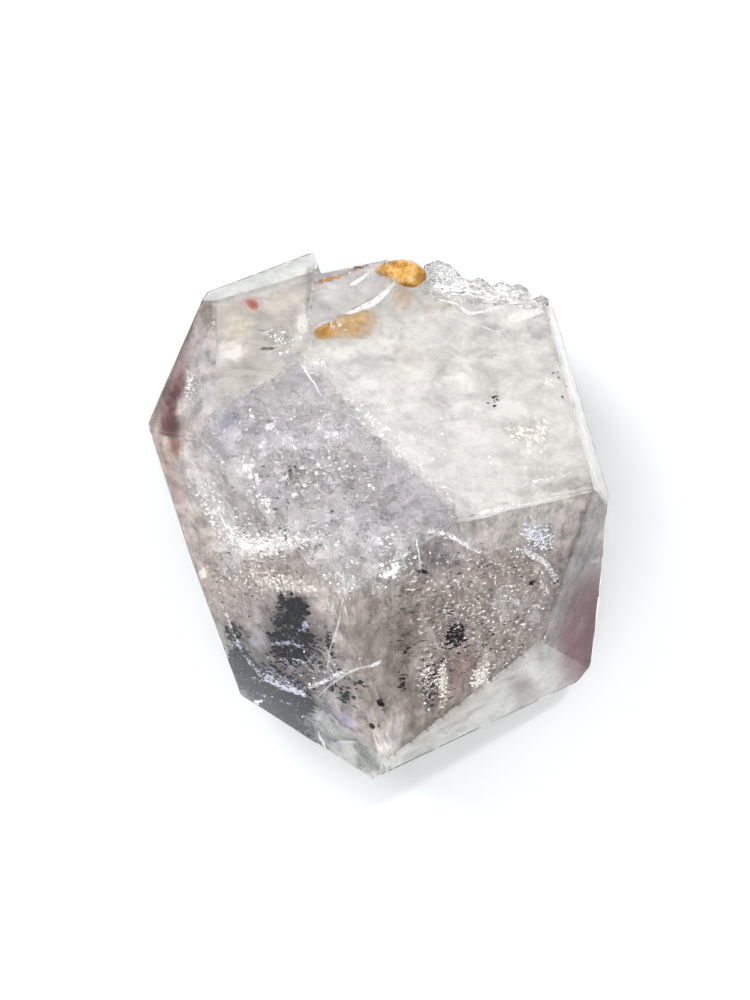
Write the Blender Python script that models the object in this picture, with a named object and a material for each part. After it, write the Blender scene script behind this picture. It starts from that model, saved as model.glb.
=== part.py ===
# Herkimer diamond: one doubly ended quartz crystal, about 76 mm wide and 86 mm long, lying on a small flat spot.
# Units are metres with +Z up. The origin is the middle of the base of the bounding box.
#
# A crystal is what is left of a block after every growth face has been cut, so the body is made in that way.
# Each face is given by the direction it looks in and by its distance from the heart of the crystal.
# The prism faces and the end faces that belong to the quartz lattice come from its angles.
# The others, where growth was crowded or the stone is broken, have directions of their own.
import math

import bmesh
import bpy
from mathutils import Vector

MM = 0.001

# The lattice: how the long axis of the crystal lies, and the angle of its end faces.
AXIS_BEARING = 104.6  # degrees, anticlockwise from +X
AXIS_DIP = 6.0  # degrees that the broken end points down
ROLL = 16.0  # degrees that the first prism face is turned about the long axis
END_FACE_ANGLE = 51.8  # degrees between the long axis and the direction of an end face
HEART_HEIGHT = 32.0  # mm from the flat spot up to the heart

# Distances in mm from the heart to the lattice faces.
UPPER_RIGHT_PRISM = 21.5
RIGHT_PRISM = 36.3
LOWER_RIGHT_END = 20.2
UNDER_RIGHT_PRISM = 36.2
UNDER_PRISM = 32.4
UNDER_LOWER_END = 41.2
UNDER_BROKEN_END = 36.3

# The other faces: bearing and tilt from +Z in degrees, distance from the heart in mm.
OWN_FACES = {
    "plateau": (-13.5, 3.2, 20.1),
    "lower_left": (-134.9, 51.8, 22.2),
    "left": (153.0, 34.4, 34.8),
    "upper_left": (111.7, 18.5, 28.4),
    "top_left_wedge": (107.4, 60.0, 42.6),
    "lower_right_strip": (-29.6, 62.0, 30.3),
    "bottom_right": (-52.6, 63.5, 29.8),
    "bottom_left": (-133.6, 58.0, 24.3),
    "right_wall": (-4.7, 83.6, 36.8),
    "right_lower_wall": (-6.7, 83.6, 37.0),
    "right_upper_wall": (16.8, 89.7, 36.7),
    "bottom_right_wall": (-64.9, 83.4, 38.1),
    "bottom_left_wall": (-122.5, 83.7, 36.4),
    "left_upper_wall": (156.4, 91.1, 38.2),
    "left_middle_wall": (-160.1, 84.7, 30.8),
    "left_lower_wall": (-162.1, 84.7, 30.9),
    "top_left_wall": (111.8, 90.5, 42.3),
    "top_middle_wall": (88.2, 90.7, 40.8),
    "top_right_wall": (66.8, 90.6, 41.7),
    "under_front": (-40.0, 124.0, 49.2),
    "under_left": (-158.0, 128.0, 41.6),
    "under_back": (62.0, 128.0, 45.0),
    "flat_spot": (0.0, 180.0, HEART_HEIGHT),
}

# The broken end: each cut takes away what lies outside all of its faces at once.
# A face here looks out of the waste and into the stone, with its bearing, tilt and distance as above.
# The stone right of the tooth has snapped off along a dished floor.
TOOTH_GAP = {
    "floor": (-98.7, 154.3, -29.6),
    "tooth_side": (171.0, 87.1, 16.5),
}
# The rim behind that floor stands back from the tooth.
RIM_CUT = {
    "rim": (-78.2, 97.0, -40.3),
    "tooth_side": (-158.2, 91.1, -6.1),
    "far_side": (20.9, 86.4, 20.7),
}
# Where the knob sits, the rim turns back towards the notch.
KNOB_SEAT = {
    "seat": (-112.5, 97.0, -38.9),
    "far_side": (20.9, 86.4, 20.7),
}
# A narrow notch parts the rim from the splintered shoulder.
SHOULDER_NOTCH = {
    "rim_side": (-159.1, 93.6, -20.7),
    "shoulder_side": (-31.8, 92.4, -13.6),
}
# The shoulder falls away behind its front edge, and its back is split off.
SHOULDER_SLOPE = {
    "slope": (-103.6, 125.0, -37.2),
    "rim_side": (-159.1, 93.6, -20.7),
}
SHOULDER_BACK = {
    "back": (-106.3, 97.1, -40.3),
    "rim_side": (-159.1, 93.6, -20.7),
}

# Splinters left standing on the shoulder: tip, then the foot's middle, half width and half depth, in mm.
SPLINTERS = (
    ((9.4, 40.2, 12.0), (10.2, 35.2, 7.0), 3.8, 2.2),
    ((13.0, 37.8, 10.8), (12.8, 34.4, 6.0), 3.2, 2.2),
    ((15.9, 37.7, 10.2), (16.2, 33.8, 5.5), 2.7, 2.0),
    ((19.6, 37.2, 9.4), (19.6, 33.4, 5.0), 2.7, 2.0),
    ((22.2, 36.9, 8.6), (22.0, 33.2, 4.0), 2.7, 2.2),
    ((25.9, 35.2, 7.6), (25.0, 32.0, 3.0), 2.4, 2.0),
)
SPLINTER_RIDGE = 0.55  # share of the half width that the tip's short ridge has to either side
SPLINTER_RIDGE_DROP = 1.2  # mm that the ends of the ridge lie below the tip
SPLINTER_RIDGE_SHIFT = -0.3  # share of the half depth that the ends of the ridge stand in front of the tip

# The iron-stained knob that sits on the rim.
KNOB_CENTRE = (4.1, 37.9, 14.2)
KNOB_HALF_SIZES = (3.7, 2.1, 2.6)
KNOB_TILT = -14.0  # degrees that its long way falls towards +X
KNOB_LUMPS = 0.16  # share of its size that its surface swells or dips
KNOB_WAVES = (  # each swelling: how often it comes round along x, y and z, and where it starts
    (4.1, 0.0, 0.0, 1.0),
    (0.0, 5.3, -2.0, 0.0),
    (3.1, 0.0, 4.7, 0.0),
)
KNOB_DETAIL = 3

BLOCK = 160 * MM  # side of the block that everything is cut from
NO_LENGTH = 1e-7  # closer than this, two points are one


def direction(bearing, tilt):
    """Unit vector at a bearing from +X and a tilt from +Z, both in degrees."""
    b, t = math.radians(bearing), math.radians(tilt)
    return Vector((math.sin(t) * math.cos(b), math.sin(t) * math.sin(b), math.cos(t)))


def lattice():
    """The long axis, towards the broken end, and the two directions across it that the prism faces turn in."""
    long_axis = direction(AXIS_BEARING, 90 + AXIS_DIP)
    across = direction(AXIS_BEARING - 90, 90)
    upward = across.cross(long_axis)
    return long_axis, across, upward


def prism_face(turn):
    """Direction of the prism face that is turned so many degrees about the long axis."""
    _, across, upward = lattice()
    angle = math.radians(ROLL + turn)
    return math.cos(angle) * upward + math.sin(angle) * across


def end_face(turn, end):
    """Direction of the end face over that prism face, with end 1 at the broken end and -1 at the other."""
    long_axis = lattice()[0]
    angle = math.radians(END_FACE_ANGLE)
    return math.sin(angle) * prism_face(turn) + end * math.cos(angle) * long_axis


def growth_faces():
    """Every face of the crystal as a direction and a distance in metres."""
    faces = [
        (prism_face(0), UPPER_RIGHT_PRISM),
        (prism_face(60), RIGHT_PRISM),
        (end_face(0, -1), LOWER_RIGHT_END),
        (prism_face(120), UNDER_RIGHT_PRISM),
        (prism_face(180), UNDER_PRISM),
        (end_face(180, -1), UNDER_LOWER_END),
        (end_face(180, 1), UNDER_BROKEN_END),
    ]
    faces += [(direction(bearing, tilt), far) for bearing, tilt, far in OWN_FACES.values()]
    return [(way, far * MM) for way, far in faces]


def cut_block(faces):
    """A block cut flat by each face in turn, and closed again after every cut."""
    bm = bmesh.new()
    bmesh.ops.create_cube(bm, size=BLOCK)
    for way, far in faces:
        cut = bmesh.ops.bisect_plane(
            bm,
            geom=bm.verts[:] + bm.edges[:] + bm.faces[:],
            dist=NO_LENGTH,
            plane_co=way * far,
            plane_no=way,
            clear_outer=True,
        )
        rim = [part for part in cut["geom_cut"] if isinstance(part, bmesh.types.BMEdge)]
        if rim:
            bmesh.ops.holes_fill(bm, edges=rim)
    bmesh.ops.remove_doubles(bm, verts=bm.verts[:], dist=NO_LENGTH)
    bmesh.ops.recalc_face_normals(bm, faces=bm.faces[:])
    return bm


def object_from(name, bm):
    """Puts the mesh into an object of that name in the scene."""
    mesh = bpy.data.meshes.new(name)
    bm.to_mesh(mesh)
    bm.free()
    obj = bpy.data.objects.new(name, mesh)
    bpy.context.scene.collection.objects.link(obj)
    return obj


def waste_piece(name, faces):
    """The piece that a break takes away: the part of the block that none of its faces leaves to the stone."""
    cuts = [(direction(bearing, tilt), far * MM) for bearing, tilt, far in faces.values()]
    return object_from(name, cut_block(cuts))


def splinter(name, tip, foot, half_width, half_depth):
    """A splinter: a four-cornered foot inside the stone, and a short slanting ridge with the tip in its middle."""
    bm = bmesh.new()
    tip, foot = Vector(tip), Vector(foot)
    corners = [
        foot + Vector((side * half_width, way * half_depth, 0)) for side in (-1, 1) for way in (-1, 1)
    ]
    ridge = [
        tip + Vector((side * SPLINTER_RIDGE * half_width, SPLINTER_RIDGE_SHIFT * half_depth, -SPLINTER_RIDGE_DROP))
        for side in (-1, 1)
    ]
    for point in corners + ridge + [tip]:
        bm.verts.new(point * MM)
    hull = bmesh.ops.convex_hull(bm, input=bm.verts[:])
    bmesh.ops.delete(bm, geom=hull["geom_interior"], context="VERTS")
    bmesh.ops.recalc_face_normals(bm, faces=bm.faces[:])
    return object_from(name, bm)


def knob():
    """The stained knob: a round lump drawn out sideways, with a few broad swellings."""
    bm = bmesh.new()
    bmesh.ops.create_icosphere(bm, subdivisions=KNOB_DETAIL, radius=1.0)
    for vert in bm.verts:
        swell = sum(math.sin(Vector(wave[:3]).dot(vert.co) + wave[3]) for wave in KNOB_WAVES)
        vert.co *= 1 + KNOB_LUMPS * swell / len(KNOB_WAVES)
    tilt = math.radians(KNOB_TILT)
    for vert in bm.verts:
        x, y, z = (size * at for size, at in zip(KNOB_HALF_SIZES, vert.co))
        turned = Vector((x * math.cos(tilt) - y * math.sin(tilt), x * math.sin(tilt) + y * math.cos(tilt), z))
        vert.co = (turned + Vector(KNOB_CENTRE)) * MM
    return object_from("knob_shape", bm)


def combine(body, other, operation):
    """Adds a Boolean to the body, and keeps its other shape out of the model."""
    boolean = body.modifiers.new(other.name, "BOOLEAN")
    boolean.operation = operation
    boolean.solver = "EXACT"
    boolean.object = other
    other.hide_render = True
    other.display_type = "WIRE"


def quartz():
    """Clear, slightly smoky quartz."""
    material = bpy.data.materials.new("smoky_quartz")
    material.use_nodes = True
    shader = material.node_tree.nodes["Principled BSDF"]
    shader.inputs["Base Color"].default_value = (0.72, 0.70, 0.69, 1)
    shader.inputs["Roughness"].default_value = 0.06
    shader.inputs["Metallic"].default_value = 0
    shader.inputs["IOR"].default_value = 1.544
    shader.inputs["Transmission Weight"].default_value = 0.8
    return material


def fixed_copy(name, body):
    """The finished solid as one plain mesh, moved so that the middle of its base is the origin."""
    bpy.context.view_layer.update()
    graph = bpy.context.evaluated_depsgraph_get()
    mesh = bpy.data.meshes.new_from_object(body.evaluated_get(graph))
    mesh.name = name
    bm = bmesh.new()
    bm.from_mesh(mesh)
    low = [min(vert.co[axis] for vert in bm.verts) for axis in range(3)]
    high = [max(vert.co[axis] for vert in bm.verts) for axis in range(3)]
    middle = Vector(((low[0] + high[0]) / 2, (low[1] + high[1]) / 2, low[2]))
    bmesh.ops.translate(bm, verts=bm.verts[:], vec=-middle)
    bmesh.ops.triangulate(bm, faces=bm.faces[:])
    bm.to_mesh(mesh)
    bm.free()
    obj = bpy.data.objects.new(name, mesh)
    bpy.context.scene.collection.objects.link(obj)
    print("heart of the crystal at", [round(-part / MM, 3) for part in middle], "mm")
    print("size", [round((b - a) / MM, 2) for a, b in zip(low, high)], "mm,", len(mesh.polygons), "triangles")
    return obj


for old in list(bpy.data.objects):
    bpy.data.objects.remove(old, do_unlink=True)

uncut = object_from("uncut_crystal", cut_block(growth_faces()))
uncut.hide_render = True
for cut_name, cut_faces in (
    ("tooth_gap", TOOTH_GAP),
    ("rim_cut", RIM_CUT),
    ("knob_seat", KNOB_SEAT),
    ("shoulder_notch", SHOULDER_NOTCH),
    ("shoulder_slope", SHOULDER_SLOPE),
    ("shoulder_back", SHOULDER_BACK),
):
    combine(uncut, waste_piece(cut_name, cut_faces), "DIFFERENCE")
for number, sizes in enumerate(SPLINTERS, 1):
    combine(uncut, splinter(f"splinter_{number}", *sizes), "UNION")
combine(uncut, knob(), "UNION")

crystal = fixed_copy("herkimer_crystal", uncut)
crystal.data.materials.clear()
crystal.data.materials.append(quartz())
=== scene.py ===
# %% [markdown]
# A herkimer diamond is a quartz crystal that grew free in a pocket, so both of its ends have faces. This
# one is about 86 mm long, slightly smoky, and far from clean: its middle is broken and etched, milky
# veils hang under its upper face, black flakes are shut in its lower left, and iron has stained its
# broken end. The lesson keeps the solid that the frame brings, gives its skin the relief that breaking
# and etching left, and then fills the clear body with what grew inside it.

# %% The fixed frame
import math
import random

import bmesh
import bpy
from mathutils import Matrix, Vector, noise
from mathutils.bvhtree import BVHTree
from mathutils.geometry import convex_hull_2d
from mathutils.kdtree import KDTree


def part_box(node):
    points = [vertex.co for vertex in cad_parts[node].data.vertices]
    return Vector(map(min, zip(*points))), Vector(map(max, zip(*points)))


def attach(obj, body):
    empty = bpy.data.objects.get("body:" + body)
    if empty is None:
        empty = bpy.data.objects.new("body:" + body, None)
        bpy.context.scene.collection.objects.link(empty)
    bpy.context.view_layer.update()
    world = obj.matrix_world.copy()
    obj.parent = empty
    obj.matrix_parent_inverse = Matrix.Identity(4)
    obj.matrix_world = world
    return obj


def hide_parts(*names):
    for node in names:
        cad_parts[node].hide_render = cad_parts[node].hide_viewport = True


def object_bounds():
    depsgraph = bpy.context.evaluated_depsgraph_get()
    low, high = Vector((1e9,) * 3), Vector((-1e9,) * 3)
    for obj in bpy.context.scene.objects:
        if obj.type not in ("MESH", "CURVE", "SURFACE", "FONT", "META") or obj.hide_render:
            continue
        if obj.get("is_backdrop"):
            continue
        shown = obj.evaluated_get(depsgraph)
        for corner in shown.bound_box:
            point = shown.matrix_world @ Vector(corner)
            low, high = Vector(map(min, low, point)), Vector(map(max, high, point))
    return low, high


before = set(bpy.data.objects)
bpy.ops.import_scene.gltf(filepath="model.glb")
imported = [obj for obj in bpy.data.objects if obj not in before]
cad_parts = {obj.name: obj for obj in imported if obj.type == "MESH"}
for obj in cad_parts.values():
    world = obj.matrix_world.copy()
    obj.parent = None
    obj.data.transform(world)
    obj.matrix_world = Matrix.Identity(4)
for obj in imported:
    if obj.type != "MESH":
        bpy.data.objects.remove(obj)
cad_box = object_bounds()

MM = 0.001
NODE = "herkimer_crystal"
low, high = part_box(NODE)
print("crystal from", [round(v / MM, 1) for v in low], "to", [round(v / MM, 1) for v in high], "mm")

# %% [markdown]
# The photograph looks straight down on the crystal, so one camera ray stands for each of its pixels.
# Everything inside the stone is placed by the pixel where it is seen and by how deep it lies. A ray bends
# where it enters quartz, so the place is found by following the bent ray, not by going straight down. The
# camera comes first, because those rays start from it.

# %% The camera above the stone
HEART = Vector((-0.505, 1.585, 32.0)) * MM
PHOTO_WIDTH, PHOTO_HEIGHT = 750, 1000
PIXELS_PER_MM = 6.15
SENSOR_MM = 36.0
CAMERA_ABOVE_HEART = 330.0 * MM
CAMERA_SHIFT = Vector((-0.49, 2.6, 0.0)) * MM
CLIP_START = 0.01

camera_data = bpy.data.cameras.new("camera")
camera_data.sensor_width = SENSOR_MM
camera_data.lens = SENSOR_MM * CAMERA_ABOVE_HEART / (PHOTO_HEIGHT / PIXELS_PER_MM * MM)
camera_data.clip_start = CLIP_START
camera = bpy.data.objects.new("camera", camera_data)
camera.location = HEART + CAMERA_SHIFT + Vector((0, 0, CAMERA_ABOVE_HEART))
bpy.context.scene.collection.objects.link(camera)
bpy.context.scene.camera = camera
print("lens", round(camera_data.lens, 2), "mm, camera", round(camera.location.z / MM), "mm above the floor")


# %% Rays from pixels
QUARTZ_IOR = 1.544
SAME_POINT = 1e-6  # metres: points that lie closer are one
FIRST_STEP = 0.1 * MM  # a ray inside the stone starts this far in, past the face that it came by
WAY_SHARE = 0.92  # of the way to the far side, past which nothing is placed
HEART_PIXEL = (378, 516)

solid = bmesh.new()
solid.from_mesh(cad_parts[NODE].data)
bmesh.ops.remove_doubles(solid, verts=solid.verts[:], dist=SAME_POINT)
solid_tree = BVHTree.FromBMesh(solid)


def pixel_ray(x, y):
    """Direction from the camera through a pixel of the photograph."""
    across = (x - PHOTO_WIDTH / 2) / PIXELS_PER_MM * MM
    upward = (PHOTO_HEIGHT / 2 - y) / PIXELS_PER_MM * MM
    return Vector((across, upward, -CAMERA_ABOVE_HEART)).normalized()


def bent(ray, normal):
    """The ray after it enters quartz through a face with that outward normal."""
    along = -ray.dot(normal)
    ratio = 1 / QUARTZ_IOR
    return ratio * ray + (ratio * along - math.sqrt(1 - ratio**2 * (1 - along**2))) * normal


def surface_at(x, y):
    """Point and outward normal of the skin at a pixel, or None beside the stone."""
    hit, normal, _, _ = solid_tree.ray_cast(camera.location, pixel_ray(x, y))
    return (hit, normal) if hit else None


def seen_at(x, y, depth):
    """The point that shows at a pixel and lies so many mm behind the skin, measured along the bent ray."""
    found = surface_at(x, y)
    if not found:
        return None
    inward = bent(pixel_ray(x, y), found[1])
    far = solid_tree.ray_cast(found[0] + inward * FIRST_STEP, inward)[3]
    return found[0] + inward * min(depth * MM, (far or 0) * WAY_SHARE)


print("skin at the heart's pixel", [round(v / MM, 1) for v in surface_at(*HEART_PIXEL)[0]], "mm")

# %% [markdown]
# Colours are written as sRGB hex values, as a paint program shows them, and one function turns them to
# the linear values that the shaders work in. A second small function adds a node with its settings and
# its links.


# %% Colours and nodes
def linear(code):
    """An sRGB hex colour as linear red, green, blue and 1."""
    shares = [int(code[i : i + 2], 16) / 255 for i in (1, 3, 5)]
    return [s / 12.92 if s <= 0.04045 else ((s + 0.055) / 1.055) ** 2.4 for s in shares] + [1]


def add(tree, kind, inputs=(), output=0, **settings):
    """Adds a node, sets its properties, sets or links its inputs, and returns one of its outputs."""
    made = tree.nodes.new(kind)
    for name, value in settings.items():
        setattr(made, name, value)
    for name, value in inputs.items() if isinstance(inputs, dict) else enumerate(inputs):
        if isinstance(value, bpy.types.NodeSocket):
            tree.links.new(value, made.inputs[name])
        else:
            made.inputs[name].default_value = value
    return made.outputs[output]


def new_material(name):
    """An empty material with its node tree and its output."""
    material = bpy.data.materials.new(name)
    material.use_nodes = True
    tree = material.node_tree
    tree.nodes.clear()
    return material, tree, tree.nodes.new("ShaderNodeOutputMaterial")


def set_stops(colours, stops):
    """Sets the (place, hex colour) stops of the colour ramp that an output belongs to."""
    bar = colours.node.color_ramp
    while len(bar.elements) < len(stops):
        bar.elements.new(0.5)
    for element, (place, code) in zip(bar.elements, stops):
        element.position = place
        element.color = linear(code)


def wave_of(tree, size, detail=4.0, rough=0.55, stretch=(1, 1, 1), warp=0.0):
    """Noise on the object's own coordinates, with features of the given size in mm."""
    place = add(tree, "ShaderNodeTexCoord", output="Object")
    turned = add(tree, "ShaderNodeMapping", {"Vector": place, "Scale": stretch})
    ins = {"Vector": turned, "Scale": 1 / (size * MM), "Detail": detail, "Roughness": rough}
    return add(tree, "ShaderNodeTexNoise", ins | {"Distortion": warp})


print("a colour of #808080 is", round(linear("#808080")[0], 3), "in linear light")

# %% [markdown]
# The skin is clear, slightly smoky quartz. Quartz bends light by 1.544, and its natural faces are glossy
# but never polished: growth leaves very low hills and fine lines on them, and etching leaves a soft frost
# in patches. So the roughness wanders between almost none and a light frost, and two layers of bump give
# the growth hills, about 3 mm apart, and a grain of about 0.5 mm. The smoke is absorption in the body of
# the stone, so thick parts are browner than thin ones.

# %% Clear smoky quartz
SMOKE_COLOUR = "#c9b8ac"
SMOKE_DENSITY = 5.0
MIRROR_TINT = "#4d4d4d"  # damps the mirror image of the bright floor in the steep faces
HILL_SIZE, HILL_HEIGHT = 3.0, 0.05  # mm
FINE_SIZE, FINE_HEIGHT = 0.5, 0.01  # mm
PATCH_SIZE = 6.0  # mm, of the etched patches
ETCHED_FROM, ETCHED_TO = 0.5, 0.8  # height of the patches' noise where the etching begins and is full
CLEAN_ROUGHNESS, ETCHED_ROUGHNESS = 0.01, 0.12

quartz, tree, out = new_material("smoky_quartz")
hills = wave_of(tree, HILL_SIZE, detail=2.0)
fine = wave_of(tree, FINE_SIZE, detail=1.0)
etched = wave_of(tree, PATCH_SIZE, detail=2.0)
frost = add(
    tree, "ShaderNodeMapRange", (etched, ETCHED_FROM, ETCHED_TO, CLEAN_ROUGHNESS, ETCHED_ROUGHNESS)
)
bump = add(tree, "ShaderNodeBump", {"Strength": 0.25, "Distance": HILL_HEIGHT * MM, "Height": hills})
ins = {"Strength": 0.2, "Distance": FINE_HEIGHT * MM, "Height": fine, "Normal": bump}
bump = add(tree, "ShaderNodeBump", ins)
ins = {
    "Base Color": linear("#fdfcfb"),
    "Roughness": frost,
    "IOR": QUARTZ_IOR,
    "Specular Tint": linear(MIRROR_TINT),
    "Transmission Weight": 1.0,
    "Normal": bump,
}
shader = add(tree, "ShaderNodeBsdfPrincipled", ins)
smoke = add(tree, "ShaderNodeVolumeAbsorption", {"Color": linear(SMOKE_COLOUR), "Density": SMOKE_DENSITY})
tree.links.new(shader, out.inputs["Surface"])
tree.links.new(smoke, out.inputs["Volume"])
print("quartz bends light by", round(shader.node.inputs["IOR"].default_value, 3))

# %% [markdown]
# The solid's flat faces are right where the crystal grew clean. Its middle is another matter: a plateau
# of ledges and small cleaved facets, where something broke off and acid ate the break. The skin is a copy
# of the solid, ruled into small cells where it is rough and then pushed inwards by a height made of three
# things: terraces, which give the ledges; cells that each have a tilt of their own, which give the
# facets; and a fine grain. A sculpted mesh would do as well, but heights from a formula can be fine
# everywhere and stay the same on each run.

# %% Which face is which
FACE_DIRECTIONS = {  # bearing and tilt from +Z, in degrees
    "upper_right": (34.6, 17.1),
    "lower_right": (-53.4, 35.3),
    "plateau": (-13.5, 3.2),
    "lower_left": (-134.9, 51.8),
    "left": (153.0, 34.4),
    "upper_left": (111.7, 18.5),
    "gap_floor": (81.3, 25.7),
    "shoulder_slope": (76.4, 55.0),
    "wedge": (107.4, 60.0),
    "right": (16.1, 76.1),
    "strip": (-29.6, 62.0),
    "bottom_right": (-52.6, 63.5),
    "bottom_left": (-133.6, 58.0),
}
SAME_FACE = math.radians(2.0)
FLAT_ANGLE = math.radians(0.3)  # triangles that meet at less are one face again


def direction(bearing, tilt):
    """Unit vector at a bearing from +X and a tilt from +Z, both in degrees."""
    b, t = math.radians(bearing), math.radians(tilt)
    return Vector((math.sin(t) * math.cos(b), math.sin(t) * math.sin(b), math.cos(t)))


def face_name(face):
    """The name of the crystal face that a mesh face lies on, or None."""
    for name, (bearing, tilt) in FACE_DIRECTIONS.items():
        if face.normal.angle(direction(bearing, tilt), math.pi) < SAME_FACE:
            return name
    return None


solid.faces.ensure_lookup_table()
bmesh.ops.dissolve_limit(solid, angle_limit=FLAT_ANGLE, verts=solid.verts[:], edges=solid.edges[:])
face_layer = solid.faces.layers.int.new("crystal_face")
names = list(FACE_DIRECTIONS)
for face in solid.faces:
    name = face_name(face)
    face[face_layer] = names.index(name) + 1 if name else 0
print("named faces:", sorted({names[f[face_layer] - 1] for f in solid.faces if f[face_layer]}))

# %% Ruling the rough faces into cells
CELL = 0.62 * MM
EVERYWHERE = 99.0
REACH = {  # mm that the break reaches into a face from the plateau, and how deep it is there
    "plateau": (EVERYWHERE, 1.0),
    "lower_left": (7.0, 0.9),
    "left": (3.0, 0.5),
    "upper_left": (4.0, 0.5),
    "upper_right": (4.5, 0.7),
    "lower_right": (2.5, 0.5),
    "gap_floor": (EVERYWHERE, 0.35),
    "shoulder_slope": (EVERYWHERE, 1.0),
}
rough_numbers = {names.index(name) + 1 for name in REACH}
print("broken faces:", sum(face[face_layer] in rough_numbers for face in solid.faces))


def rule(bm, axis):
    """Cuts the rough faces by evenly spaced planes across one axis."""
    side = Vector([1.0 if i == axis else 0.0 for i in range(3)])
    at = low[axis] + CELL / 2
    while at < high[axis]:
        faces = [f for f in bm.faces if f[face_layer] in rough_numbers]
        faces = [f for f in faces if min(v.co[axis] for v in f.verts) < at < max(v.co[axis] for v in f.verts)]
        parts = list(dict.fromkeys(part for f in faces for part in (*f.verts, *f.edges, f)))
        if parts:
            bmesh.ops.bisect_plane(bm, geom=parts, dist=SAME_POINT, plane_co=side * at, plane_no=side)
        at += CELL


# %% Wearing the edges
EDGE_WIDTH = 0.16 * MM  # natural edges are a little worn, and the narrow face shows as a bright or dark line
LEAST_TURN = math.radians(12)  # between the faces at an edge that is worn
LEAST_EDGE = 5 * MM
skin = solid.copy()
solid_layer = face_layer
face_layer = skin.faces.layers.int["crystal_face"]
worn = [e for e in skin.edges if len(e.link_faces) == 2 and e.calc_face_angle_signed() > LEAST_TURN]
worn = [e for e in worn if e.calc_length() > LEAST_EDGE]
bmesh.ops.bevel(
    skin,
    geom=worn,
    offset=EDGE_WIDTH,
    offset_type="OFFSET",
    segments=1,
    profile=0.5,
    affect="EDGES",
    clamp_overlap=True,
    material=-1,
)
print("worn edges:", len(worn))
for axis in (0, 1):
    rule(skin, axis)
print("ruled skin:", len(skin.faces), "faces")

# %% [markdown]
# The plateau gets the deepest relief. Beside it the faces are broken only along their shared edge, so
# their relief fades with the distance from the plateau, and it stops before the next clean face, which
# has to stay flat. A few gashes and plates that stand out in the photograph are added by name, each an
# oval of its own depth.

# %% Heights of the relief
PLATEAU_DEPTH = 0.85  # mm between the highest and the lowest ledge
LEDGE_LENGTH, LEDGE_WIDTH = 9.0, 4.5  # mm
LEDGE_COUNT = 5
RISER_STEEPNESS = 8
FACET_SIZE, FACET_DEPTH = 1.3, 0.6  # mm
FACET_SQUEEZE = (0.8, 1.25)  # a facet is longer across the picture than along it
FACET_STEP = 0.4  # how far a facet stands above or below its neighbours, beside its tilt
FACET_SEED = 17.3
GRAIN_SIZE, GRAIN_DEPTH = 0.55, 0.05  # mm
OVAL_REACH = 3  # half lengths, past which an oval adds nothing
CLEAN_MARGIN = 1.4  # mm over which the relief dies out towards a clean face
MARKS = {  # middle in pixels, half length and half width in pixels, turn in degrees, height in mm
    "upper_gash": ((271, 349), (15, 3.0), 0, -1.6),
    "middle_gash": ((268, 421), (12, 3.5), 4, -1.3),
    "upright_flaw": ((291, 474), (14, 3.5), -72, -1.4),
    "standing_plate": ((228, 430), (22, 10), -65, 0.8),
    "crescent": ((391, 571), (10, 3.5), 22, 0.9),
    "crescent_dip": ((388, 562), (9, 5), 22, -0.9),
    "lilac_ledge": ((440, 490), (30, 9), -48, -0.9),
    "lens_flake": ((340, 588), (16, 5), -75, 0.7),
}


def to_pixel(point):
    """The pixel of the photograph at which a point of the skin is seen."""
    away = point - camera.location
    scale = CAMERA_ABOVE_HEART / -away.z / MM * PIXELS_PER_MM
    return PHOTO_WIDTH / 2 + away.x * scale, PHOTO_HEIGHT / 2 - away.y * scale


def in_oval(x, y, middle, halves, turn, hardness=2.0):
    """1 inside the oval around a middle, falling to 0 at its rim: the harder, the quicker."""
    t = math.radians(turn)
    across, along = x - middle[0], middle[1] - y
    if abs(across) + abs(along) > OVAL_REACH * max(halves):
        return 0.0
    u = (across * math.cos(t) + along * math.sin(t)) / halves[0]
    v = (along * math.cos(t) - across * math.sin(t)) / halves[1]
    return math.exp(-((u * u + v * v) ** hardness))


# %% Ledges, facets and grain
def ledges(point):
    """Terraces from 0 to 1, long across the picture, with steep risers."""
    place = Vector((point.x / LEDGE_LENGTH, point.y / LEDGE_WIDTH, point.z / LEDGE_LENGTH)) / MM
    level = (noise.fractal(place, 0.9, 2.1, 5) + 1) / 2 * LEDGE_COUNT
    return (math.floor(level) + (level % 1) ** RISER_STEEPNESS) / LEDGE_COUNT


def facets(point):
    """Small cells, each a plane with its own tilt, from about -0.5 to 0.5."""
    place = point / (FACET_SIZE * MM)
    place = Vector((place.x * FACET_SQUEEZE[0], place.y * FACET_SQUEEZE[1], place.z))
    middle = noise.voronoi(place)[1][0]
    slope = noise.cell_vector(middle * FACET_SEED) - Vector((0.5, 0.5, 0.5))
    return (place - middle).dot(slope) + FACET_STEP * slope.z


def relief(point):
    """Height of the full relief at a point of the skin, in mm: 0 or less."""
    x, y = to_pixel(point)
    height = (ledges(point) - 1) * PLATEAU_DEPTH + (facets(point) - 0.5) * FACET_DEPTH
    height += noise.noise(point / (GRAIN_SIZE * MM)) * GRAIN_DEPTH
    height += sum(mark[3] * in_oval(x, y, *mark[:3]) for mark in MARKS.values())
    return min(height, 0.0)


print(len(MARKS), "named marks, the deepest", min(mark[3] for mark in MARKS.values()), "mm")


# %% Cutting the rough cells finer
FADE_POWER = 1.5
LEAST_STRENGTH = 0.02  # share of the relief below which the cells stay coarse


def tree_of(verts):
    """A search tree over some of the skin's points."""
    found = KDTree(len(verts))
    for number, vert in enumerate(verts):
        found.insert(vert.co, number)
    found.balance()
    return found


def on_face(name):
    """The skin's points on a named face."""
    return [v for v in skin.verts if any(f[face_layer] == names.index(name) + 1 for f in v.link_faces)]


plateau_tree = tree_of(on_face("plateau"))
clean_tree = tree_of([v for v in skin.verts if any(f[face_layer] not in rough_numbers for f in v.link_faces)])


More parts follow.
